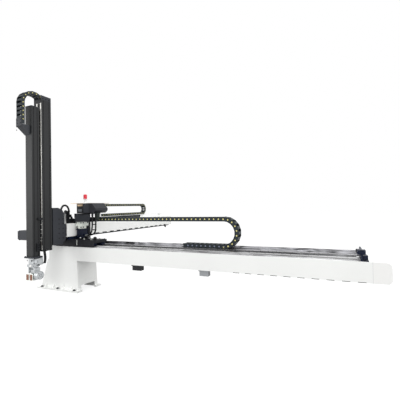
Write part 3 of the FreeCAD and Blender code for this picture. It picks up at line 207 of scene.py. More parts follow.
def settled(piece):
    """Puts a piece's place and turn into its mesh, and its origin at the world's."""
    alone(piece)
    bpy.ops.object.transform_apply(location=True, rotation=True, scale=True)
    return piece


def joined(name, pieces):
    """Several pieces made one, with its origin at the world's."""
    bpy.ops.object.select_all(action="DESELECT")
    for piece in pieces:
        piece.select_set(True)
    bpy.context.view_layer.objects.active = pieces[0]
    if len(pieces) > 1:
        bpy.ops.object.join()
    piece = bpy.context.object
    piece.name = name
    return settled(piece)


def turned(name, start, axis, profile, sides=32):
    """A turned piece: a disc at start drawn out along an axis through rings of (radius, distance)."""
    bpy.ops.object.select_all(action="DESELECT")
    radius, along = profile[0]
    bpy.ops.mesh.primitive_circle_add(vertices=sides, radius=radius, fill_type="NGON")
    piece = bpy.context.object
    piece.name = name
    bpy.ops.object.mode_set(mode="EDIT")
    bpy.ops.mesh.select_all(action="SELECT")
    for next_radius, next_along in profile[1:]:
        bpy.ops.mesh.extrude_region_move(TRANSFORM_OT_translate={"value": (0, 0, next_along - along)})
        share = next_radius / radius
        bpy.ops.transform.resize(value=(share, share, 1), center_override=(0, 0, next_along))
        radius, along = next_radius, next_along
    bpy.ops.mesh.select_all(action="SELECT")
    bpy.ops.mesh.normals_make_consistent(inside=False)
    bpy.ops.object.mode_set(mode="OBJECT")
    facing = Vector((0, 0, 1)).rotation_difference(Vector(axis)).to_matrix().to_4x4()
    piece.matrix_world = Matrix.Translation(start) @ facing
    settled(piece)
    bpy.ops.object.shade_smooth_by_angle(angle=math.radians(35))
    return piece


def cap_screw(radius, height):
    """A socket head screw that stands on the origin, its rim chamfered and its socket sunk."""
    return turned("screw", (0, 0, 0), (0, 0, 1),
                  [(radius, 0), (radius, height * 0.86), (radius * 0.86, height), (radius * 0.5, height),
                   (radius * 0.48, height * 0.45)], 12)


def scattered(name, model, spots, axis=(0, 0, 1)):
    """Copies of a model, each with its own mesh, at spots and turned to an axis; the model goes."""
    facing = Vector((0, 0, 1)).rotation_difference(Vector(axis)).to_matrix().to_4x4()
    copies = []
    for spot in spots:
        copy = model.copy()
        copy.data = model.data.copy()
        bpy.context.scene.collection.objects.link(copy)
        copy.matrix_world = Matrix.Translation(spot) @ facing
        copies.append(copy)
    bpy.data.objects.remove(model)
    return joined(name, copies)


def fit(piece, body, material=None):
    """Lets a finished piece ride on a body, with its material."""
    if material:
        piece.data.materials.clear()
        piece.data.materials.append(material)
    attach(piece, body)
    return piece


# White powder coat: clean and neutral, with a broad soft sheen and a peel that grazing light shows.
white_coat = powder_coat("powder_coated_steel_white", "#F6F7F5", 0.36, 2.2)
dress(white_coat, "base_pedestal")
# Blackened steel: dark and slightly oily, with light on the rims. Its grain and that of the other
# bare metals is coarser than real, so that it shows.
blackened = metal("blackened_screw_steel", "#3A3B3E", 0.38, 3, (1, 1, 1), 0.15)


def screws(name, body, radius, height, spots, axis):
    """Blackened socket head screws that stand at spots along an axis and ride on a body."""
    return fit(scattered(name, cap_screw(radius, height), spots, axis), body, blackened)


UP = (0, 0, 1)
FOOT_TOP, BOLT_X, BOLT_Y = 0.022, (-0.300, 0.0, 0.300), (-0.193, 0.193)
washer = turned("washer", (0, 0, 0), UP, [(0.020, 0), (0.020, 0.003), (0.019, 0.0036)], 20)
head = turned("head", (0, 0, 0.0036), UP, [(0.014, 0), (0.014, 0.010), (0.0125, 0.0125)], 6)
spots = [(x, y, FOOT_TOP) for x in BOLT_X for y in BOLT_Y]
fit(scattered("foot_bolts", joined("bolt", [washer, head]), spots), "base", blackened)


# Traverse beam and its ends
# A thick rectangular steel tube, coated as the stand is. Its left end has a bolted plate, and its
# free end a hollow cap of moulded white ABS behind a fine grey gasket. A row of shallow dark dashes runs
# along its lower front edge.
def moulded(name, tint, roughness, grain_mm, gloss=0.3):
    """Moulded plastic: even colour, with the fine spark-eroded grain of the tool."""
    material, tree, out = bare_material(name)
    where = add(tree, "ShaderNodeTexCoord").outputs["Object"]
    grain = add(tree, "ShaderNodeTexNoise", [("Vector", where)], Scale=1000 / grain_mm, Detail=3.0)
    spread = add(tree, "ShaderNodeMapRange", [("Value", grain.outputs["Fac"])],
                 To_Min=roughness - 0.05, To_Max=roughness + 0.05)
    bump = add(tree, "ShaderNodeBump", [("Height", grain.outputs["Fac"])], Strength=0.12, Distance=0.0003)
    skin = add(tree, "ShaderNodeBsdfPrincipled",
               [("Roughness", spread.outputs[0]), ("Normal", bump.outputs[0])], Base_Color=colour(tint),
               Specular_IOR_Level=gloss)
    tree.links.new(skin.outputs[0], out.inputs["Surface"])
    return material


def picked(piece, wanted):
    """Opens a piece in edit mode with only the faces selected that wanted(centre, normal) takes."""
    alone(piece)
    bpy.ops.object.mode_set(mode="EDIT")
    bpy.ops.mesh.select_mode(type="FACE")
    bpy.ops.mesh.select_all(action="DESELECT")
    bpy.ops.object.mode_set(mode="OBJECT")
    for face in piece.data.polygons:
        face.select = wanted(face.center, face.normal)
    bpy.ops.object.mode_set(mode="EDIT")


def stepped(piece, side, margin, height):
    """Insets the outermost face on one side of a piece and moves it out by height, or in."""
    side = Vector(side)
    reach = max(face.center.dot(side) for face in piece.data.polygons)
    picked(piece, lambda centre, normal: normal.dot(side) > 0.99 and centre.dot(side) > reach - 1e-5)
    bpy.ops.mesh.inset(thickness=margin)
    bpy.ops.mesh.extrude_region_move(TRANSFORM_OT_translate={"value": side * height})
    bpy.ops.object.mode_set(mode="OBJECT")
    return piece


def block(name, low, high, width, segments=1):
    """A block between two corners with all its edges rounded."""
    low, high = Vector(low), Vector(high)
    bpy.ops.object.select_all(action="DESELECT")
    bpy.ops.mesh.primitive_cube_add(size=1, location=(low + high) / 2)
    piece = bpy.context.object
    piece.name = name
    piece.scale = high - low
    settled(piece)
    round_off = piece.modifiers.new("round", "BEVEL")
    round_off.width = width
    round_off.segments = segments
    bpy.ops.object.modifier_apply(modifier="round")
    return piece


# Moulded ABS: as white as the coat but flatter, with the tool's grain drawn at 1.6 mm to show.
white_abs = moulded("moulded_abs_white", "#F6F6F4", 0.42, 1.6)
dress(white_coat, "traverse_beam", "beam_end_plate")
dress(white_abs, "beam_end_cap")
# Rubber: nearly black and dull, so it reads as a shadow line where it covers a joint.
rubber = moulded("moulded_rubber_black", "#121214", 0.7, 0.9)
LEFT, RIGHT, FRONT, BACK, DOWN = (-1, 0, 0), (1, 0, 0), (0, -1, 0), (0, 1, 0), (0, 0, -1)
BEAM_FRONT, BEAM_BACK, BEAM_FLOOR, BEAM_TOP = -0.170, 0.070, 0.406, 0.586
SEAM_LEFT, SEAM_RIGHT, SEAM_PROUD = 3.6890, 3.6910, 0.0004
seam = block("beam_cap_seam", (SEAM_LEFT, BEAM_FRONT - SEAM_PROUD, BEAM_FLOOR - SEAM_PROUD),
             (SEAM_RIGHT, BEAM_BACK + SEAM_PROUD, BEAM_TOP + SEAM_PROUD), 0.0003)
for side in (LEFT, RIGHT):
    stepped(seam, side, 0.012, -0.001)
# Grey gasket: a little darker than the white on both sides, which draws the joint as a thin line.
fit(seam, "base", moulded("seam_gasket_grey", "#C9CBCC", 0.6, 1.0))
END_PLATE_LEFT = -0.186
screws("end_plate_screws", "base", 0.007, 0.005,
       [(END_PLATE_LEFT, y, z) for y in (-0.150, -0.050, 0.050) for z in (0.430, 0.562)], LEFT)
# A row of shallow dark rubber dashes along the beam's lower front edge.
FIRST_SLOT, SLOT_PITCH, SLOT_LENGTH, SLOT_COUNT = 2.46, 0.124, 0.064, 10
slots = []
for i in range(SLOT_COUNT):
    x = FIRST_SLOT + SLOT_PITCH * i
    slot = block("lower_edge_dash", (x, BEAM_FRONT - 0.0008, BEAM_FLOOR + 0.001),
                 (x + SLOT_LENGTH, BEAM_FRONT + 0.002, BEAM_FLOOR + 0.006), 0.0006)
    slots.append(stepped(slot, FRONT, 0.0012, -0.0006))
fit(joined("beam_lower_edge_dashes", slots), "base", rubber)
# Black nylon: a dark satin, a shade lighter than rubber, with the tool's grain in its gloss.
black_nylon = moulded("moulded_nylon_black", "#15171B", 0.5, 1.2)


def in_nylon(piece, body):
    """Lets a finished piece of black nylon ride on a body."""
    return fit(piece, body, black_nylon)


dress(black_nylon, "beam_outlet_left")
# Grey ABS: mid grey and satin, which sets the outlet off from the white beam above it.
dress(moulded("moulded_abs_grey", "#9EA1A4", 0.45, 1.2), "beam_outlet_right")

# Rails, rack and tray of the traverse
# Two ground rails with pressed-in bolt caps and a rack between them are bolted to a machined strip
# of the beam. The tray behind, which carries the chain, is folded from galvanised sheet.
# Ground steel: bright, with long narrow streaks of light along the rail.
ground_steel = metal("ground_rail_steel", "#B2B2B3", 0.26, 14, (0.05, 1, 1), 0.45, 0.5)
# Hardened steel: scale-grey and blotchy, so the teeth stay darker than the rails.
gear_steel = metal("hardened_gear_steel", "#45474A", 0.40, 4, (1, 1, 1), 0.30)
# Galvanised sheet: zinc spangle, which the low view draws out into wavy dark and light patches.
galvanised = metal("galvanised_sheet", "#A7A7AA", 0.36, 34, (0.12, 1.0, 1.0), 0.95, 1.5)
dress(ground_steel, "traverse_rails")
dress(gear_steel, "traverse_rack", "kick_rack", "traverse_pinion", "kick_pinion")
dress(galvanised, "chain_trough")
bed = block("beam_machined_bed", (-0.172, -0.152, BEAM_TOP - 0.0015), (3.602, 0.062, BEAM_TOP + 0.0004),
            0.0003)
stepped(bed, UP, 0.004, -0.0001)
# Machined steel: long dark and light cutter streaks, drawn 22 mm wide to show at this distance.
fit(bed, "base", metal("machined_bed_steel", "#8D8E91", 0.36, 22, (0.07, 1, 1), 0.95, 1.5))
RAIL_TOP, RAIL_LINES = 0.612, (-0.125, 0.025)
FIRST_CAP, CAP_PITCH, CAP_COUNT = -0.10, 0.08, 46
cap = turned("cap", (0, 0, 0), UP, [(0.0058, 0), (0.0058, 0.0006), (0.0048, 0.0009)], 10)
spots = [(FIRST_CAP + CAP_PITCH * i, y, RAIL_TOP) for i in range(CAP_COUNT) for y in RAIL_LINES]
in_nylon(scattered("rail_bolt_caps", cap, spots), "base")

# End stop
# A bent plate of painted steel stands at the free end of the rails, with two rubber bumpers, and
# two solid buffer blocks are screwed on beside it, one stepped up behind the other.
# Black powder coat: a deep satin black that still shows its edges.
black_coat = powder_coat("powder_coated_steel_black", "#1D1E22", 0.45, 1.8, 0.2)
# Motor enamel: a blue-black sprayed paint, a little glossier than the powder coats.
motor_enamel = powder_coat("motor_enamel_blue_black", "#121A2E", 0.36, 1.5, 0.15)
dress(motor_enamel, "end_stop_right")
dress(rubber, "stop_bumpers")
holder = block("stop_buffer_holder", (3.576, -0.166, 0.643), (3.642, -0.104, 0.6825), 0.003, 2)
fit(stepped(holder, FRONT, 0.006, -0.002), "base", motor_enamel)
damper = block("stop_damper", (3.6185, -0.150, 0.600), (3.660, -0.075, 0.634), 0.003, 2)
fit(stepped(damper, FRONT, 0.007, 0.004), "base", motor_enamel)

# Carriage plate
# A thick plate with a folded skirt over the front rail, coated black, runs on four guide blocks.
# A pale strip on the skirt is a painted highlight, one bright upright line where light catches the plate's
# edge, and grease nipples stand on the plate.
# Charcoal powder coat: lighter and bluer than the black, so the sheet parts part from the post.
dark_coat = powder_coat("powder_coated_steel_charcoal", "#393B40", 0.42, 1.8, 0.2)
dress(black_coat, "traverse_plate")
dress(motor_enamel, "carriage_guide_blocks", "lift_guide_blocks", "stage_guide_blocks")
PLATE_TOP, SKIRT_FRONT, SKIRT_FLOOR = 0.676, -0.168, 0.612
screws("skirt_screws", "carriage", 0.006, 0.004,
       [(x, SKIRT_FRONT, 0.620) for x in (-0.06, 0.06, 0.18, 0.30, 0.42, 0.54, 0.60)], FRONT)
screws("plate_screws", "carriage", 0.008, 0.007,
       [(x, y, PLATE_TOP) for x in (0.36, 0.44, 0.52, 0.60) for y in (-0.140, 0.045)], UP)
# Machined aluminium: almost white, with a faint cutter grain and a wide, soft highlight.
machined = metal("machined_aluminium", "#ECEFEA", 0.46, 3, (1, 1, 0.2), 0.06)
# Painted highlight: a strip of pale machined aluminium stands for the light along the plate's edge.
edge = block("plate_painted_highlight_strip", (0.328, SKIRT_FRONT - 0.0035, SKIRT_FLOOR), (0.337, SKIRT_FRONT, PLATE_TOP),
             0.0008)
fit(stepped(edge, FRONT, 0.0015, 0.0006), "carriage", machined)
nipples = [turned("nipple", (x, y, PLATE_TOP), UP,
                  [(0.009, 0), (0.009, 0.006), (0.005, 0.007), (0.005, 0.014), (0.0065, 0.017),
                   (0.0035, 0.022)], 12)
           for x, y in ((0.385, -0.095), (0.470, -0.060), (0.560, -0.090))]
fit(joined("grease_nipples", nipples), "carriage", machined)
side_bumper = turned("plate_side_bumper", (0.588, -0.100, 0.6985), FRONT,
                     [(0.016, 0), (0.022, 0.002), (0.022, 0.020), (0.020, 0.023), (0.012, 0.023),
                      (0.010, 0.019)], 32)
fit(side_bumper, "carriage", rubber)

# Traverse and crosswise drives
# Servo motors on planetary gearboxes, flanged to the plate. The motors are painted blue-black over
# cast aluminium, their joints show as fine dark seams, and the gearboxes are painted pale.
# Pale casting paint: off-white with a slight green, flat enough that the bolts stand out on it.
pale_casting = powder_coat("painted_cast_aluminium_pale", "#F0F5ED", 0.48, 1.4)
dress(pale_casting, "kick_gearbox", "traverse_gearbox", "lift_gearbox")
dress(motor_enamel, "traverse_motor", "kick_motor")
dress(dark_coat, "lift_motor")
SEAM_WIDTH = 0.002


def seam_ring(name, low, high, proud=0.0008):
    """A dark joint round a square body, a hair proud of its faces."""
    ring = block(name, Vector(low) - Vector((proud,) * 3), Vector(high) + Vector((proud,) * 3), 0.0006)
    thin = min(range(3), key=lambda i: high[i] - low[i])
    side = Vector([float(i == thin) for i in range(3)])
    for way in (-1, 1):
        stepped(ring, side * way, 0.006, -0.0008)
    return ring


TRAVERSE_LOW, TRAVERSE_HIGH = (-0.09575, -0.085), (0.00425, 0.015)
KICK_LOW, KICK_HIGH = (0.178, -0.0406), (0.294, 0.0754)
for name, low, high, seams in (("traverse_motor_seams", TRAVERSE_LOW, TRAVERSE_HIGH, (0.776, 0.868)),
                               ("kick_motor_seams", KICK_LOW, KICK_HIGH, (0.7225, 0.812))):
    rings = [seam_ring("seam", (*low, z), (*high, z + SEAM_WIDTH)) for z in seams]
    fit(joined(name, rings), "carriage", rubber)
screws("kick_gearbox_bolts_front", "carriage", 0.008, 0.007,
       [(x, KICK_LOW[1], z) for x in (0.196, 0.276) for z in (0.834, 0.894)], FRONT)
screws("kick_gearbox_bolts_side", "carriage", 0.008, 0.007,
       [(KICK_HIGH[0], y, z) for y in (-0.022, 0.057) for z in (0.834, 0.894)], RIGHT)
screws("traverse_gearbox_bolts", "carriage", 0.007, 0.006,
       [(x, TRAVERSE_LOW[1], z) for x in (-0.082, -0.010) for z in (0.690, 0.762)], FRONT)

# Drive post and cover
# A cut and welded steel post, black, holds the crosswise drive, and above it a folded cover of
# charcoal sheet guards the wiring. Its left bay is open and shows a zinc-yellow plate inside; the
# dark inside of the bay is painted shade, a thin black sheet on the cover's face.
dress(black_coat, "drive_post", "chain_fixed_clamp", "chain_carriage_arm")
dress(dark_coat, "cover_base")
# Sheet coat: between the black and the charcoal, so the cover's folds catch light apart.
cover_coat = powder_coat("powder_coated_sheet_grey", "#2D2E33", 0.44, 1.8, 0.2)
dress(cover_coat, "drive_cover")
# Zinc passivation: a dull straw tint that drifts over the sheet in broad patches.
zinc = metal("zinc_passivated_sheet", "#B09A80", 0.42, 12, (1, 1, 1), 0.15)
dress(zinc, "cover_top_plate")
COVER_FRONT, COVER_RIGHT, COVER_SCREW_Z = -0.0752, 0.566, 1.040
# Painted shade: a thin black sheet on the cover's face stands for the dark inside of the open bay.
bay = block("cover_bay_painted_shade", (0.242, COVER_FRONT, 1.032), (0.352, -0.0735, 1.150), 0.0006)
in_nylon(stepped(bay, FRONT, 0.004, -0.0006), "carriage")
shelf = block("cover_bay_plate", (0.250, -0.0775, 1.118), (0.345, COVER_FRONT, 1.142), 0.0006)
fit(stepped(shelf, FRONT, 0.006, 0.001), "carriage", zinc)
terminal = block("cover_bay_terminal", (0.262, -0.0785, 1.046), (0.330, COVER_FRONT, 1.078), 0.0012)
# Grey polyamide: a flat mid grey that reads as a terminal block in the dark bay.
fit(stepped(terminal, FRONT, 0.006, 0.002), "carriage",
    moulded("moulded_pa_grey", "#6E7276", 0.5, 1.2))
panel = block("cover_side_panel", (0.360, -0.0765, 1.030), (0.452, -0.0738, 1.150), 0.001)
fit(stepped(panel, FRONT, 0.005, -0.001), "carriage", dark_coat)
screws("cover_screws", "carriage", 0.0045, 0.003,
       [(x, -0.074, z) for x, z in ((0.464, COVER_SCREW_Z), (0.552, COVER_SCREW_Z), (0.464, 1.142))], FRONT)
screws("cover_side_screws", "carriage", 0.0045, 0.003,
       [(COVER_RIGHT, y, COVER_SCREW_Z) for y in (-0.045, 0.041, 0.128)], RIGHT)

GUARD_FRONT, GUARD_RIGHT, GUARD_TOP = -0.0640, 0.448, 1.008
guard = block("pinion_guard", (0.186, GUARD_FRONT, 0.908), (GUARD_RIGHT, -0.0600, GUARD_TOP), 0.001)
stepped(guard, FRONT, 0.006, -0.001)
turn_in = block("turn_in", (0.444, -0.0635, 0.940), (GUARD_RIGHT, -0.046, GUARD_TOP), 0.001)
stepped(turn_in, RIGHT, 0.006, -0.0008)
fit(joined("pinion_guard", [guard, turn_in]), "carriage", dark_coat)
connector = block("cover_connector", (0.528, -0.036, 0.938), (0.563, 0.008, 1.026), 0.003, 2)
stepped(connector, FRONT, 0.005, 0.002)
stepped(connector, DOWN, 0.007, 0.010)
# PBT: a green-black with a soft shine, as connector shells have.
fit(connector, "carriage", moulded("moulded_pbt_green_black", "#1C2421", 0.5, 1.1))
screws("pinion_guard_screws", "carriage", 0.0055, 0.004,
       [(x, GUARD_FRONT, z) for x in (0.200, 0.318, 0.436) for z in (0.921, 0.996)], FRONT)

# Signal lamp
# A red acrylic lens, moulded with fine rings inside, on a white ABS stem. A bayonet collar joins
# the two.
# Red acrylic: glossy and saturated, with a faint glow and rings in its highlight.
LAMP_RED = colour("#D01C33")
acrylic, tree, out = bare_material("moulded_acrylic_red")
where = add(tree, "ShaderNodeTexCoord").outputs["Object"]
ribs = add(tree, "ShaderNodeTexWave", [("Vector", where)], Scale=50.0, bands_direction="Z")
bump = add(tree, "ShaderNodeBump", [("Height", ribs.outputs["Fac"])], Strength=0.3, Distance=0.001)
skin = add(tree, "ShaderNodeBsdfPrincipled", [("Normal", bump.outputs[0])], Base_Color=LAMP_RED,
           Roughness=0.18, IOR=1.49, Emission_Color=LAMP_RED, Emission_Strength=0.15)
tree.links.new(skin.outputs[0], out.inputs["Surface"])
dress(acrylic, "lamp_lens")
dress(white_abs, "lamp_stem")
collar = turned("lamp_collar", (0.346, -0.030, 1.208), UP,
                [(0.0258, 0), (0.0268, 0.0015), (0.0268, 0.0065), (0.0250, 0.008)], 40)
fit(collar, "carriage", white_abs)

# Crosswise beam
# A white coated steel tube carries the arm in and out over the mould. Two rails run under it, a
# row of black clips dashes its lower edge, and a proximity sensor sits near its end.
dress(white_coat, "crosswise_beam", "crosswise_end_cap", "kick_chain_shelf")
# Induction hardened steel: a blued dark grey, nearly black beside the white tube.
dress(metal("induction_hardened_rail_dark", "#303236", 0.42, 6, (1, 0.1, 1), 0.20), "kick_rails")
CROSS_END, CROSS_RIGHT = 2.554, 0.170
screws("cross_cap_screws", "crosswise", 0.006, 0.004,
       [(x, CROSS_END, z) for x in (0.030, 0.150) for z in (0.735, 0.870)], BACK)
FIRST_CLIP, CLIP_PITCH, CLIP_LENGTH, CLIP_COUNT = 0.16, 0.16, 0.09, 14
clips = []
for i in range(CLIP_COUNT):
    y = FIRST_CLIP + CLIP_PITCH * i
    clip = block("clip", (CROSS_RIGHT - 0.001, y, 0.7155),
                 (CROSS_RIGHT + 0.001, y + CLIP_LENGTH, 0.7275), 0.0006)
    clips.append(stepped(clip, RIGHT, 0.002, -0.0003))
in_nylon(joined("cross_beam_edge_clips", clips), "crosswise")
sensor = block("sensor", (0.150, 2.318, 0.668), (0.168, 2.352, 0.715), 0.002)
stepped(sensor, DOWN, 0.004, 0.006)
tip = turned("tip", (0.159, 2.318, 0.690), FRONT, [(0.006, 0), (0.006, 0.026), (0.0045, 0.028)], 16)
in_nylon(joined("cross_limit_sensor", [sensor, tip]), "crosswise")

# Arm bracket and vacuum unit
# A heavy bracket of welded plate hangs the arm on the crosswise beam. Behind it sit the vacuum
# ejectors in one black nylon body, with push-in fittings, two valves and a small white dial.
dress(dark_coat, "arm_bracket")
BRACKET_RIGHT = 0.150
strip = block("bracket_edge_strip", (BRACKET_RIGHT, -0.204, 0.892), (0.1535, -0.179, 1.022), 0.0008)
# Brushed steel: pale, with fine upright lines that spread its highlight sideways.
fit(stepped(strip, RIGHT, 0.004, -0.0008), "crosswise",
    metal("brushed_plate_steel", "#D2D3D2", 0.34, 5, (1, 1, 0.1), 0.10))
HOLE_PITCH, HOLE_ROWS, HOLES_IN_ROW = 0.062, 2, 5
plug = turned("plug", (0, 0, 0), UP,
              [(0.0095, 0), (0.0095, 0.0010), (0.0080, 0.0020), (0.0030, 0.0012)], 16)
in_nylon(scattered("gusset_hole_plugs", plug,
              [(BRACKET_RIGHT, -0.224 - HOLE_PITCH * row, 0.708 + HOLE_PITCH * i)
               for row in range(HOLE_ROWS) for i in range(HOLES_IN_ROW)], RIGHT), "crosswise")
dress(black_nylon, "vacuum_unit")
UNIT_RIGHT, DIAL_Y, DIAL_Z = 0.110, -0.082, 0.962
rim = turned("vacuum_dial_rim", (UNIT_RIGHT, DIAL_Y, DIAL_Z), RIGHT,
             [(0.0125, 0), (0.0125, 0.006), (0.0112, 0.0075), (0.0098, 0.0075), (0.0096, 0.006)], 32)
in_nylon(rim, "crosswise")
face = turned("vacuum_dial_face", (0.1155, DIAL_Y, DIAL_Z), RIGHT,
              [(0.0094, 0), (0.0094, 0.0012), (0.0088, 0.0016)], 32)
fit(face, "crosswise", white_abs)
push_in = turned("push_in", (0, 0, 0), UP,
                 [(0.0085, 0), (0.0085, 0.008), (0.0070, 0.009), (0.0070, 0.015), (0.0060, 0.016),
                  (0.0035, 0.016), (0.0035, 0.006)], 16)
in_nylon(scattered("vacuum_fittings", push_in,
              [(UNIT_RIGHT, y, 0.915) for y in (-0.140, -0.115, -0.060, -0.035)], RIGHT), "crosswise")
COIL_LEFT, COIL_FLOOR = 0.040, 1.006
valves = []
for near, right_face, far, coil_top in ((-0.114, 0.070, -0.084, 1.064), (-0.074, 0.066, -0.048, 1.054)):
    coil = block("coil", (COIL_LEFT, near, COIL_FLOOR), (right_face, far, coil_top), 0.003, 2)
    valves.append(stepped(coil, UP, 0.005, 0.006))
    coil_plug = block("coil_plug", (right_face - 0.001, near + 0.004, 1.020),
                      (right_face + 0.012, far - 0.004, 1.044), 0.002, 2)
    valves.append(stepped(coil_plug, RIGHT, 0.004, 0.003))
in_nylon(joined("vacuum_valves", valves), "crosswise")

# Lift drive
# The same kind of servo as the others lies across the bracket's side plate and drives the arm's
# belt. Its casing has a seam at each joint, and four long screws show on the gearbox.
LIFT_LOW, LIFT_HIGH = (-0.523, 0.697), (-0.399, 0.821)
rings = [seam_ring("seam", (x, *LIFT_LOW), (x + SEAM_WIDTH, *LIFT_HIGH)) for x in (-0.134, -0.290)]
fit(joined("lift_motor_seams", rings), "crosswise", rubber)
screws("lift_gearbox_bolts", "crosswise", 0.008, 0.007,
       [(x, -0.526, z) for x in (-0.085, -0.030) for z in (0.712, 0.806)], FRONT)

# Arm stages
# Both stages are extruded aluminium, anodised dark. The die leaves straight, faint lines along
# the profile, so tone and roughness change across it and stay even along it.
# Anodised aluminium: dark and satin, with upright lines 4.5 mm apart, coarser than real, to show.
LINE_MM = 1000 / 220
anodised, tree, out = bare_material("anodised_extrusion_charcoal")
where = add(tree, "ShaderNodeTexCoord").outputs["Object"]
along = add(tree, "ShaderNodeMapping", [("Vector", where)], Scale=(1, 1, 0.004))
lines = add(tree, "ShaderNodeTexNoise", [("Vector", along.outputs[0])], Scale=1000 / LINE_MM, Detail=3.0)
tone = add(tree, "ShaderNodeMix", [("Factor", lines.outputs["Fac"])], data_type="RGBA")
tone.inputs[6].default_value = colour("#222324")
tone.inputs[7].default_value = colour("#333435")
rough = add(tree, "ShaderNodeMapRange", [("Value", lines.outputs["Fac"])], To_Min=0.36, To_Max=0.5)
skin = add(tree, "ShaderNodeBsdfPrincipled",
           [("Base Color", tone.outputs[2]), ("Roughness", rough.outputs[0])],
           Metallic=0.1, Specular_IOR_Level=0.25)
tree.links.new(skin.outputs[0], out.inputs["Surface"])
dress(anodised, "arm_outer_profile", "arm_inner_profile")
# Ground steel on end: a thin pale line up the arm with its grinding marks running up it.
upright_steel = metal("ground_rail_steel_upright", "#D6D5D0", 0.30, 6, (1, 1, 0.1), 0.10)
dress(upright_steel, "arm_rails")
dress(dark_coat, "arm_head", "arm_inner_cap", "arm_flange", "arm_chain_bracket")
ARM_RIGHT = 0.150


def slot_cover(y, low, high):
    """The rubber strip that closes a T-slot on the arm's right side, with a groove down it."""
    strip = block("slot_cover", (ARM_RIGHT - 0.0005, y - 0.004, low),
                  (ARM_RIGHT + 0.0012, y + 0.004, high), 0.0006)
    return stepped(strip, RIGHT, 0.0015, -0.0008)


for name, body, low, high, across in (("outer_slot_covers", "arm_outer", 0.580, 2.440, (-0.420, -0.500)),
                                      ("inner_slot_covers", "arm_inner", 0.530, 2.320, (-0.585, -0.634))):
    fit(joined(name, [slot_cover(y, low, high) for y in across]), body, rubber)
gib = block("arm_edge_strip", (0.134, -0.5345, 0.590), (ARM_RIGHT + 0.0005, -0.5295, 2.400), 0.0008)
fit(stepped(gib, FRONT, 0.003, -0.0008), "arm_outer", upright_steel)
screws("arm_head_screws", "arm_outer", 0.007, 0.006,
       [(ARM_RIGHT, y, 2.462) for y in (-0.505, -0.462, -0.420)], RIGHT)
FLANGE_TOP = 0.525
screws("arm_flange_screws", "arm_inner", 0.007, 0.008,
       [(x, y, FLANGE_TOP) for x, y in ((0.030, -0.668), (0.160, -0.668), (0.160, -0.600))], UP)
screws("chain_bracket_screws", "arm_inner", 0.006, 0.005,
       [(x, -0.770, z) for x in (0.046, 0.110) for z in (2.020, 2.060, 2.100, 2.140)], FRONT)

# Wrist and gripper
# Machined aluminium blocks, screwed together. A rotary actuator on the yoke's right side flips the
# plate that carries the tool, and two brown phenolic pads face it in pale frames.
# Machined wrist aluminium: mid bright, with turning marks that break up its reflections.
wrist_alloy = metal("machined_wrist_aluminium", "#B9BCBE", 0.36, 3, (1, 1, 0.2), 0.14)
# Phenolic laminate: a flat warm brown with a papery grain.
phenolic = moulded("phenolic_brown", "#8D6656", 0.55, 1.4)
dress(wrist_alloy, "wrist_housing", "wrist_yoke", "flip_shaft", "gripper_plate")
FLIP_Y, FLIP_Z, DRUM_Z, DRUM_LEFT = -0.6095, 0.3483, 0.305, 0.1650
hub = turned("hub", (0.1470, FLIP_Y, FLIP_Z), RIGHT, [(0.0215, 0), (0.0215, 0.010), (0.020, 0.0105)], 32)
plate = block("plate", (0.1570, -0.650, 0.255), (DRUM_LEFT, -0.572, 0.392), 0.003, 2)
drum = turned("drum", (DRUM_LEFT, FLIP_Y, DRUM_Z), RIGHT,
              [(0.046, 0), (0.050, 0.003), (0.050, 0.022), (0.047, 0.024), (0.047, 0.028), (0.050, 0.030),
               (0.050, 0.048), (0.046, 0.052), (0.020, 0.052), (0.018, 0.047), (0.012, 0.047),
               (0.012, 0.054)], 48)
fit(joined("flip_actuator", [hub, plate, drum]), "wrist", wrist_alloy)
SCREW_CIRCLE = 0.035
angles = [math.radians(45 + 90 * i) for i in range(4)]
screws("flip_actuator_screws", "wrist", 0.0045, 0.004,
       [(0.217, FLIP_Y + SCREW_CIRCLE * math.cos(a), DRUM_Z + SCREW_CIRCLE * math.sin(a)) for a in angles],
       RIGHT)
HOUSING_FRONT = -0.648
side_body = block("side_body", (0.1465, HOUSING_FRONT, 0.438), (0.204, -0.570, 0.506), 0.005, 2)
stepped(side_body, RIGHT, 0.008, 0.005)
stepped(side_body, FRONT, 0.008, -0.002)
fit(side_body, "arm_inner", wrist_alloy)
screws("wrist_screws", "arm_inner", 0.005, 0.004,
       [(x, HOUSING_FRONT, z) for x in (0.158, 0.192) for z in (0.449, 0.495)], FRONT)
covers = []
for y, way in ((-0.6575, -1), (-0.5655, 1)):
    cover = block("cover", (0.044, y, 0.402), (0.146, y + 0.004, 0.433), 0.0012)
    covers.append(stepped(cover, (0, way, 0), 0.006, -0.001))
fit(joined("yoke_covers", covers), "wrist", wrist_alloy)
tag = block("yoke_front_plate", (0.090, -0.6605, 0.405), (0.124, -0.6570, 0.431), 0.001)
fit(stepped(tag, FRONT, 0.003, 0.0006), "wrist", white_abs)
slots = []
for x in (0.050, 0.128):
    slot = block("slot", (x, -0.6625, 0.470), (x + 0.010, -0.6600, 0.492), 0.001)
    slots.append(stepped(slot, FRONT, 0.002, -0.0008))
fit(joined("wrist_clamp_slots", slots), "arm_inner", rubber)
FRAME_BORDER = 0.008
frames = []
pads = []
for low_x, high_x in ((0.033, 0.092), (0.098, 0.154)):
    pale = block("frame", (low_x, -0.664, 0.241), (high_x, -0.658, 0.326), 0.0015)
    frames.append(stepped(pale, FRONT, 0.007, -0.002))
    pad = block("pad", (low_x + FRAME_BORDER, -0.667, 0.250), (high_x - FRAME_BORDER, -0.6615, 0.317), 0.002)
    pads.append(stepped(pad, FRONT, 0.003, 0.0012))
fit(joined("gripper_pad_frames", frames), "gripper", machined)
fit(joined("gripper_pads", pads), "gripper", phenolic)

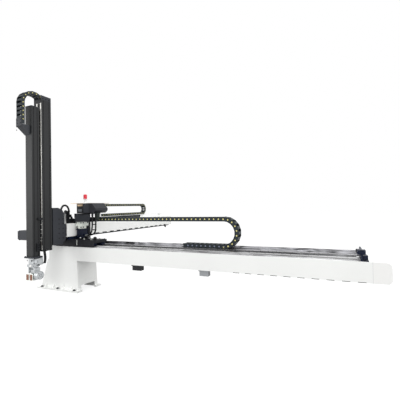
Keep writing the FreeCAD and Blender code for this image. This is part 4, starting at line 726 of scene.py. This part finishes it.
# Motor leads, wrist hose and vacuum hose
# Round cords extruded in PVC and polyurethane. Each leaves through a gland or a plug with a
# tapered boot, so it never bends at its end, and all of them go from one housing to another.
# Extruded PVC: black, with a soft gloss that runs along the cord as one line of light.
jacket = moulded("extruded_pvc_black", "#17181B", 0.42, 0.8)
# Nickel plate: bright and even, with sharp small highlights on the plugs' rims.
plug_metal = metal("nickel_plated_brass", "#C9CBC8", 0.28, 2, (1, 1, 1), 0.08)


def lead(name, route, diameter):
    """A round cord on one smooth spline through the route's control points."""
    line = bpy.data.curves.new(name, "CURVE")
    line.dimensions = "3D"
    line.bevel_depth = diameter / 2
    line.bevel_resolution = 5
    line.use_fill_caps = True
    line.resolution_u = 16
    spline = line.splines.new("NURBS")
    spline.points.add(len(route) - 1)
    for point, place in zip(spline.points, route):
        point.co = (*place, 1)
    spline.order_u = 3
    spline.use_endpoint_u = True
    piece = bpy.data.objects.new(name, line)
    bpy.context.scene.collection.objects.link(piece)
    return piece


def sleeve_on(name, route, diameter):
    """A protective sleeve round a stretch of a cord, as a mesh along the same kind of spline."""
    thick = lead(name + "_line", route, diameter)
    thick.data.bevel_resolution = 3
    sleeve = bpy.data.objects.new(name, bpy.data.meshes.new_from_object(thick))
    bpy.context.scene.collection.objects.link(sleeve)
    bpy.data.objects.remove(thick)
    return sleeve


def boot(name, start, axis, bore, length):
    """A gland nut and the tapered boot that carries the bend out of it."""
    nut = turned("nut", start, axis,
                 [(bore * 1.5, 0), (bore * 1.5, length * 0.2), (bore * 1.35, length * 0.24)], 6)
    taper = turned("taper", Vector(start) + Vector(axis) * length * 0.24, axis,
                   [(bore * 1.28, 0), (bore * 1.26, length * 0.2), (bore * 1.12, length * 0.5),
                    (bore * 1.04, length * 0.76)], 24)
    return joined(name, [nut, taper])


LEAD_DIAMETER, LEAD_BORE = 0.020, 0.0102
POWER_LEAD = [(0.464, -0.024, 1.002), (0.464, -0.024, 0.890), (0.446, -0.022, 0.770), (0.380, 0.0034, 0.720),
              (0.3143, 0.0034, 0.720)]
ENCODER_LEAD = [(0.508, -0.010, 1.002), (0.508, -0.010, 0.885), (0.494, -0.002, 0.765),
                (0.392, 0.0314, 0.722), (0.3143, 0.0314, 0.722)]
for name, route, length in (("power_lead", POWER_LEAD, 0.379), ("encoder_lead", ENCODER_LEAD, 0.420)):
    piece = fit(lead("motor_" + name, route, LEAD_DIAMETER), "carriage", jacket)
    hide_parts("motor_leads")
    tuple(route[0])
    in_nylon(boot(name + "_gland", route[0], DOWN, LEAD_BORE, 0.045), "carriage")
    fit(boot(name + "_plug", route[-1], RIGHT, LEAD_BORE, 0.040), "carriage", plug_metal)
# Each clip is a bar across both leads, given by its height and where the leads pass it.
rungs = []
for z, (left_x, left_y), (right_x, right_y) in ((0.872, (0.462, -0.022), (0.506, -0.009)),
                                                (0.800, (0.449, -0.021), (0.497, -0.004))):
    rung = block("rung", (left_x - 0.012, left_y - 0.002, z - 0.006),
                 (right_x + 0.012, right_y + 0.004, z + 0.006), 0.002, 2)
    rungs.append(stepped(rung, FRONT, 0.003, 0.003))
in_nylon(joined("lead_clips", rungs), "carriage")

WRIST_HOSE = [(0.160, -0.550, 0.960), (0.160, -0.550, 0.690), (0.204, -0.536, 0.540), (0.204, -0.534, 0.464),
              (0.183, -0.534, 0.433), (0.1473, -0.534, 0.433)]
piece = fit(lead("wrist_air_hose", WRIST_HOSE, 0.010), "arm_inner", jacket)
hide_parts("wrist_hose")
tee = joined("hose_tee", [
    turned("body", (0.1925, -0.5395, 0.612), (0.15, 0.02, -0.99),
           [(0.0085, 0), (0.0120, 0.003), (0.0120, 0.012), (0.0100, 0.015), (0.0100, 0.044), (0.0120, 0.047),
            (0.0120, 0.056), (0.0085, 0.059)], 24),
    turned("branch", (0.200, -0.5385, 0.586), (0.98, 0.02, 0.2),
           [(0.0085, 0), (0.0085, 0.018), (0.0105, 0.020), (0.0105, 0.028), (0.0080, 0.030),
            (0.0045, 0.026)], 24)])
in_nylon(tee, "arm_inner")
wrap = sleeve_on("hose_wrap", [(0.1935, -0.5390, 0.585), (0.2035, -0.5365, 0.540), (0.2040, -0.5340, 0.468),
                               (0.1900, -0.5340, 0.440)], 0.030)
fit(wrap, "arm_inner", rubber)
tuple(WRIST_HOSE[0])
wiring_box = block("wiring_box", (0.1500, -0.612, 0.585), (0.168, -0.570, 0.680), 0.003, 2)
stepped(wiring_box, RIGHT, 0.004, 0.002)
sockets = [turned("socket", (0.168, y, z), RIGHT,
                  [(0.007, 0), (0.007, 0.008), (0.0055, 0.009), (0.0055, 0.014), (0.0040, 0.014),
                   (0.0040, 0.008)], 16)
           for y in (-0.602, -0.580) for z in (0.604, 0.632, 0.660)]
in_nylon(joined("wrist_wiring_box", [wiring_box] + sockets), "arm_inner")
fitting = boot("wrist_hose_fitting", WRIST_HOSE[-1], RIGHT, 0.0053, 0.020)
fit(fitting, "arm_inner", plug_metal)
clip = block("hose_clip", (0.150, -0.596, 0.960), (0.170, -0.542, 0.986), 0.002, 2)
stepped(clip, RIGHT, 0.005, 0.002)
relief = turned("relief", WRIST_HOSE[0], DOWN,
                [(0.0085, 0), (0.0082, 0.008), (0.0064, 0.022), (0.0056, 0.030)], 24)
in_nylon(joined("wrist_hose_clip", [clip, relief]), "arm_inner")
ties = []
for z in (0.900, 0.840, 0.795, 0.740, 0.705):
    ties.append(turned("ring", (0.160, -0.550, z), UP,
                       [(0.0058, 0), (0.0072, 0.0006), (0.0072, 0.0040), (0.0058, 0.0046)], 16))
    tail = block("tail", (0.160, -0.561, z + 0.0005), (0.176, -0.5585, z + 0.0045), 0.0005)
    ties.append(stepped(tail, RIGHT, 0.0004, 0.012))
# Natural nylon: milky white and flat, so the ties show as pale dashes on the black hose.
fit(joined("hose_ties", ties), "arm_inner",
    moulded("moulded_nylon_natural", "#EDEDE8", 0.5, 1.0))

UNIT_HOSE = [(0.080, -0.202, 0.9933), (0.080, -0.202, 1.072), (0.080, -0.160, 1.138), (0.080, -0.096, 1.130),
             (0.080, -0.062, 1.072), (0.080, -0.062, 1.0083)]
piece = fit(lead("vacuum_supply_hose", UNIT_HOSE, 0.015), "crosswise", jacket)
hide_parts("vacuum_hose")
sleeve = sleeve_on("vacuum_hose_sleeve",
                   [(0.080, -0.2015, 1.030), (0.080, -0.2005, 1.075), (0.080, -0.160, 1.138),
                    (0.080, -0.096, 1.130), (0.080, -0.0635, 1.072), (0.080, -0.0620, 1.040)], 0.025)
fit(sleeve, "crosswise", rubber)
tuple(UNIT_HOSE[0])
for name, spot in (("vacuum_hose_gland", UNIT_HOSE[0]), ("vacuum_hose_fitting", UNIT_HOSE[-1])):
    in_nylon(boot(name, spot, UP, 0.0078, 0.030), "crosswise")


# Cable carriers
# Chains of moulded nylon links that lead cables to the moving axes. Each link has two side
# plates with round ends and a crossbar over each side, and a cap closes each hinge pin.
# Glass filled nylon: slate, flatter than plain nylon, with light on every link's edge.
chain_nylon = moulded("glass_filled_nylon_slate", "#262D31", 0.46, 1.0, 0.25)
# Moulded caps: pale yellow dots along the chains. On the run in the tray the same caps are grey-blue, which
# is painted shade from the tray.
pin_cap = moulded("moulded_cap_pale_yellow", "#E2D98E", 0.4, 1.0)
pin_cap_painted_shade = moulded("moulded_cap_painted_shade", "#7C8196", 0.4, 1.0)


def carrier_link(pitch, height, width):
    """One link about the origin: x along the chain, y across it, z towards the outer side."""
    OUTER_REACH, INNER_REACH, INNER_SHIFT, PLATE_HALF = 0.62, 0.40, 0.055, 0.0025
    made = []
    for side in (-1, 1):
        for offset, reach in ((0.0, OUTER_REACH), (INNER_SHIFT * width, INNER_REACH)):
            middle = side * (width / 2 - offset)
            plate = block("plate", (-pitch * reach, middle - PLATE_HALF, -height / 2),
                          (pitch * reach, middle + PLATE_HALF, height / 2), 0.0006)
            if reach == OUTER_REACH:
                stepped(plate, (0, side, 0), height * 0.12, -0.001)
            made.append(plate)
        pin = turned("cap", (pitch / 2, side * (width / 2 + 0.0005), 0), (0, side, 0),
                     [(height * 0.17, 0), (height * 0.17, 0.0025), (height * 0.13, 0.0035)], 10)
        pin.data.materials.append(pin_cap)
        made.append(pin)
    for rise in (-1, 1):
        bar_z = rise * (height / 2 - 0.003)
        made.append(block("bar", (-pitch * 0.27, -width / 2, bar_z - 0.003),
                          (pitch * 0.27, width / 2, bar_z + 0.003), 0.001))
    for piece in made:
        if not piece.data.materials:
            piece.data.materials.append(chain_nylon)
    return joined("link", made)


def carrier_run(name, link, places, node, body=None):
    """A chain in place of its CAD node: a link copied to each (point, way along, outward side)."""
    copies = []
    for point, forward, outward in places:
        copy = link.copy()
        copy.data = link.data.copy()
        bpy.context.scene.collection.objects.link(copy)
        f, o = Vector(forward).normalized(), Vector(outward).normalized()
        copy.matrix_world = Matrix.Translation(point) @ Matrix((f, o.cross(f), o)).transposed().to_4x4()
        copies.append(copy)
    run = joined(name, copies)
    if body:
        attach(run, body)
    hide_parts(node)
    return run


def straight(start, direction, outward, length, pitch):
    """Places of the links along a straight run."""
    count = max(1, round(length / pitch))
    step = length / count
    start, direction = Vector(start), Vector(direction)
    return [(start + direction * step * (i + 0.5), direction, outward) for i in range(count)]


def half_turn(centre, radius, u, v, pitch, first=90, last=-90):
    """Places round a bend in the plane of unit vectors u and v, from angle first to last."""
    count = max(4, round(math.radians(abs(last - first)) * radius / pitch))
    u, v = Vector(u), Vector(v)
    places = []
    for i in range(count):
        angle = math.radians(first + (last - first) * (i + 0.5) / count)
        outward = u * math.cos(angle) + v * math.sin(angle)
        forward = (u * math.sin(angle) - v * math.cos(angle)) * (1 if last < first else -1)
        places.append((Vector(centre) + outward * radius, forward, outward))
    return places


# The traverse chain: a run over the beam, a bend, and a run in the tray.
BIG, UPPER_RUN, LOWER_RUN, UPPER_KEPT = 0.056, 1.85, 0.5, 0.55
TURN_X, CHAIN_Y, CHAIN_LOW, CHAIN_HIGH = 2.275, 0.126, 0.629, 0.935
START = (TURN_X - UPPER_RUN, CHAIN_Y, CHAIN_HIGH)
link = carrier_link(BIG, 0.050, 0.088)
run = carrier_run("traverse_carrier_upper", link, straight(START, RIGHT, UP, UPPER_RUN, BIG),
                  "traverse_chain_upper", "carriage")
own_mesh(run)
radius = (CHAIN_HIGH - CHAIN_LOW) / 2
bend = half_turn((TURN_X, CHAIN_Y, CHAIN_LOW + radius), radius, RIGHT, UP, BIG)
carrier_run("traverse_carrier_loop", link, bend, "traverse_chain_loop", "traverse_chain_loop")
places = straight((TURN_X - LOWER_RUN, CHAIN_Y, CHAIN_LOW), RIGHT, DOWN, LOWER_RUN, BIG)
run = carrier_run("traverse_carrier_lower", link, places, "traverse_chain_lower")
# Painted shade: the caps on the run in the tray get a grey-blue copy of the pale yellow caps.
for i, material in enumerate(run.data.materials):
    if material == pin_cap:
        run.data.materials[i] = pin_cap_painted_shade
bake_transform(run)
bpy.data.objects.remove(link)

# The kick chain, along the crosswise beam.
SMALL, KICK_UPPER, KICK_LOWER, KICK_KEPT = 0.050, 1.15, 1.1, 0.50
KICK_X, KICK_TURN, RUN_LOW, RUN_HIGH = 0.056, 1.640, 0.978, 1.134
START = (KICK_X, KICK_TURN - KICK_UPPER, RUN_HIGH)
link = carrier_link(SMALL, 0.038, 0.072)
run = carrier_run("kick_carrier_upper", link, straight(START, BACK, UP, KICK_UPPER, SMALL),
                  "kick_chain_upper", "carriage")
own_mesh(run)
radius = (RUN_HIGH - RUN_LOW) / 2
bend = half_turn((KICK_X, KICK_TURN, RUN_LOW + radius), radius, BACK, UP, SMALL)
carrier_run("kick_carrier_loop", link, bend, "kick_chain_loop", "kick_chain_loop")
places = straight((KICK_X, KICK_TURN - KICK_LOWER, RUN_LOW), BACK, DOWN, KICK_LOWER, SMALL)
run = carrier_run("kick_carrier_lower", link, places, "kick_chain_lower")
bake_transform(run)
bpy.data.objects.remove(link)

# The arm chain, arched over both stages.
ARM_X, ARM_REAR, ARM_TURN, ARM_RADIUS = 0.078, -0.448, 2.350, 0.148
REAR_RUN, FRONT_RUN = 0.26, 0.25
link = carrier_link(SMALL, 0.041, 0.088)
arch = half_turn((ARM_X, ARM_REAR - ARM_RADIUS, ARM_TURN), ARM_RADIUS, BACK, UP, SMALL, 180, 0)
rear = straight((ARM_X, ARM_REAR, ARM_TURN), DOWN, BACK, REAR_RUN, SMALL)
carrier_run("arm_carrier_loop", link, arch + rear, "arm_chain_loop", "arm_outer")
places = straight((ARM_X, ARM_REAR - 2 * ARM_RADIUS, ARM_TURN - FRONT_RUN), UP, FRONT, FRONT_RUN, SMALL)
run = carrier_run("arm_carrier_front", link, places, "arm_chain_front")
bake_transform(run)
bpy.data.objects.remove(link)
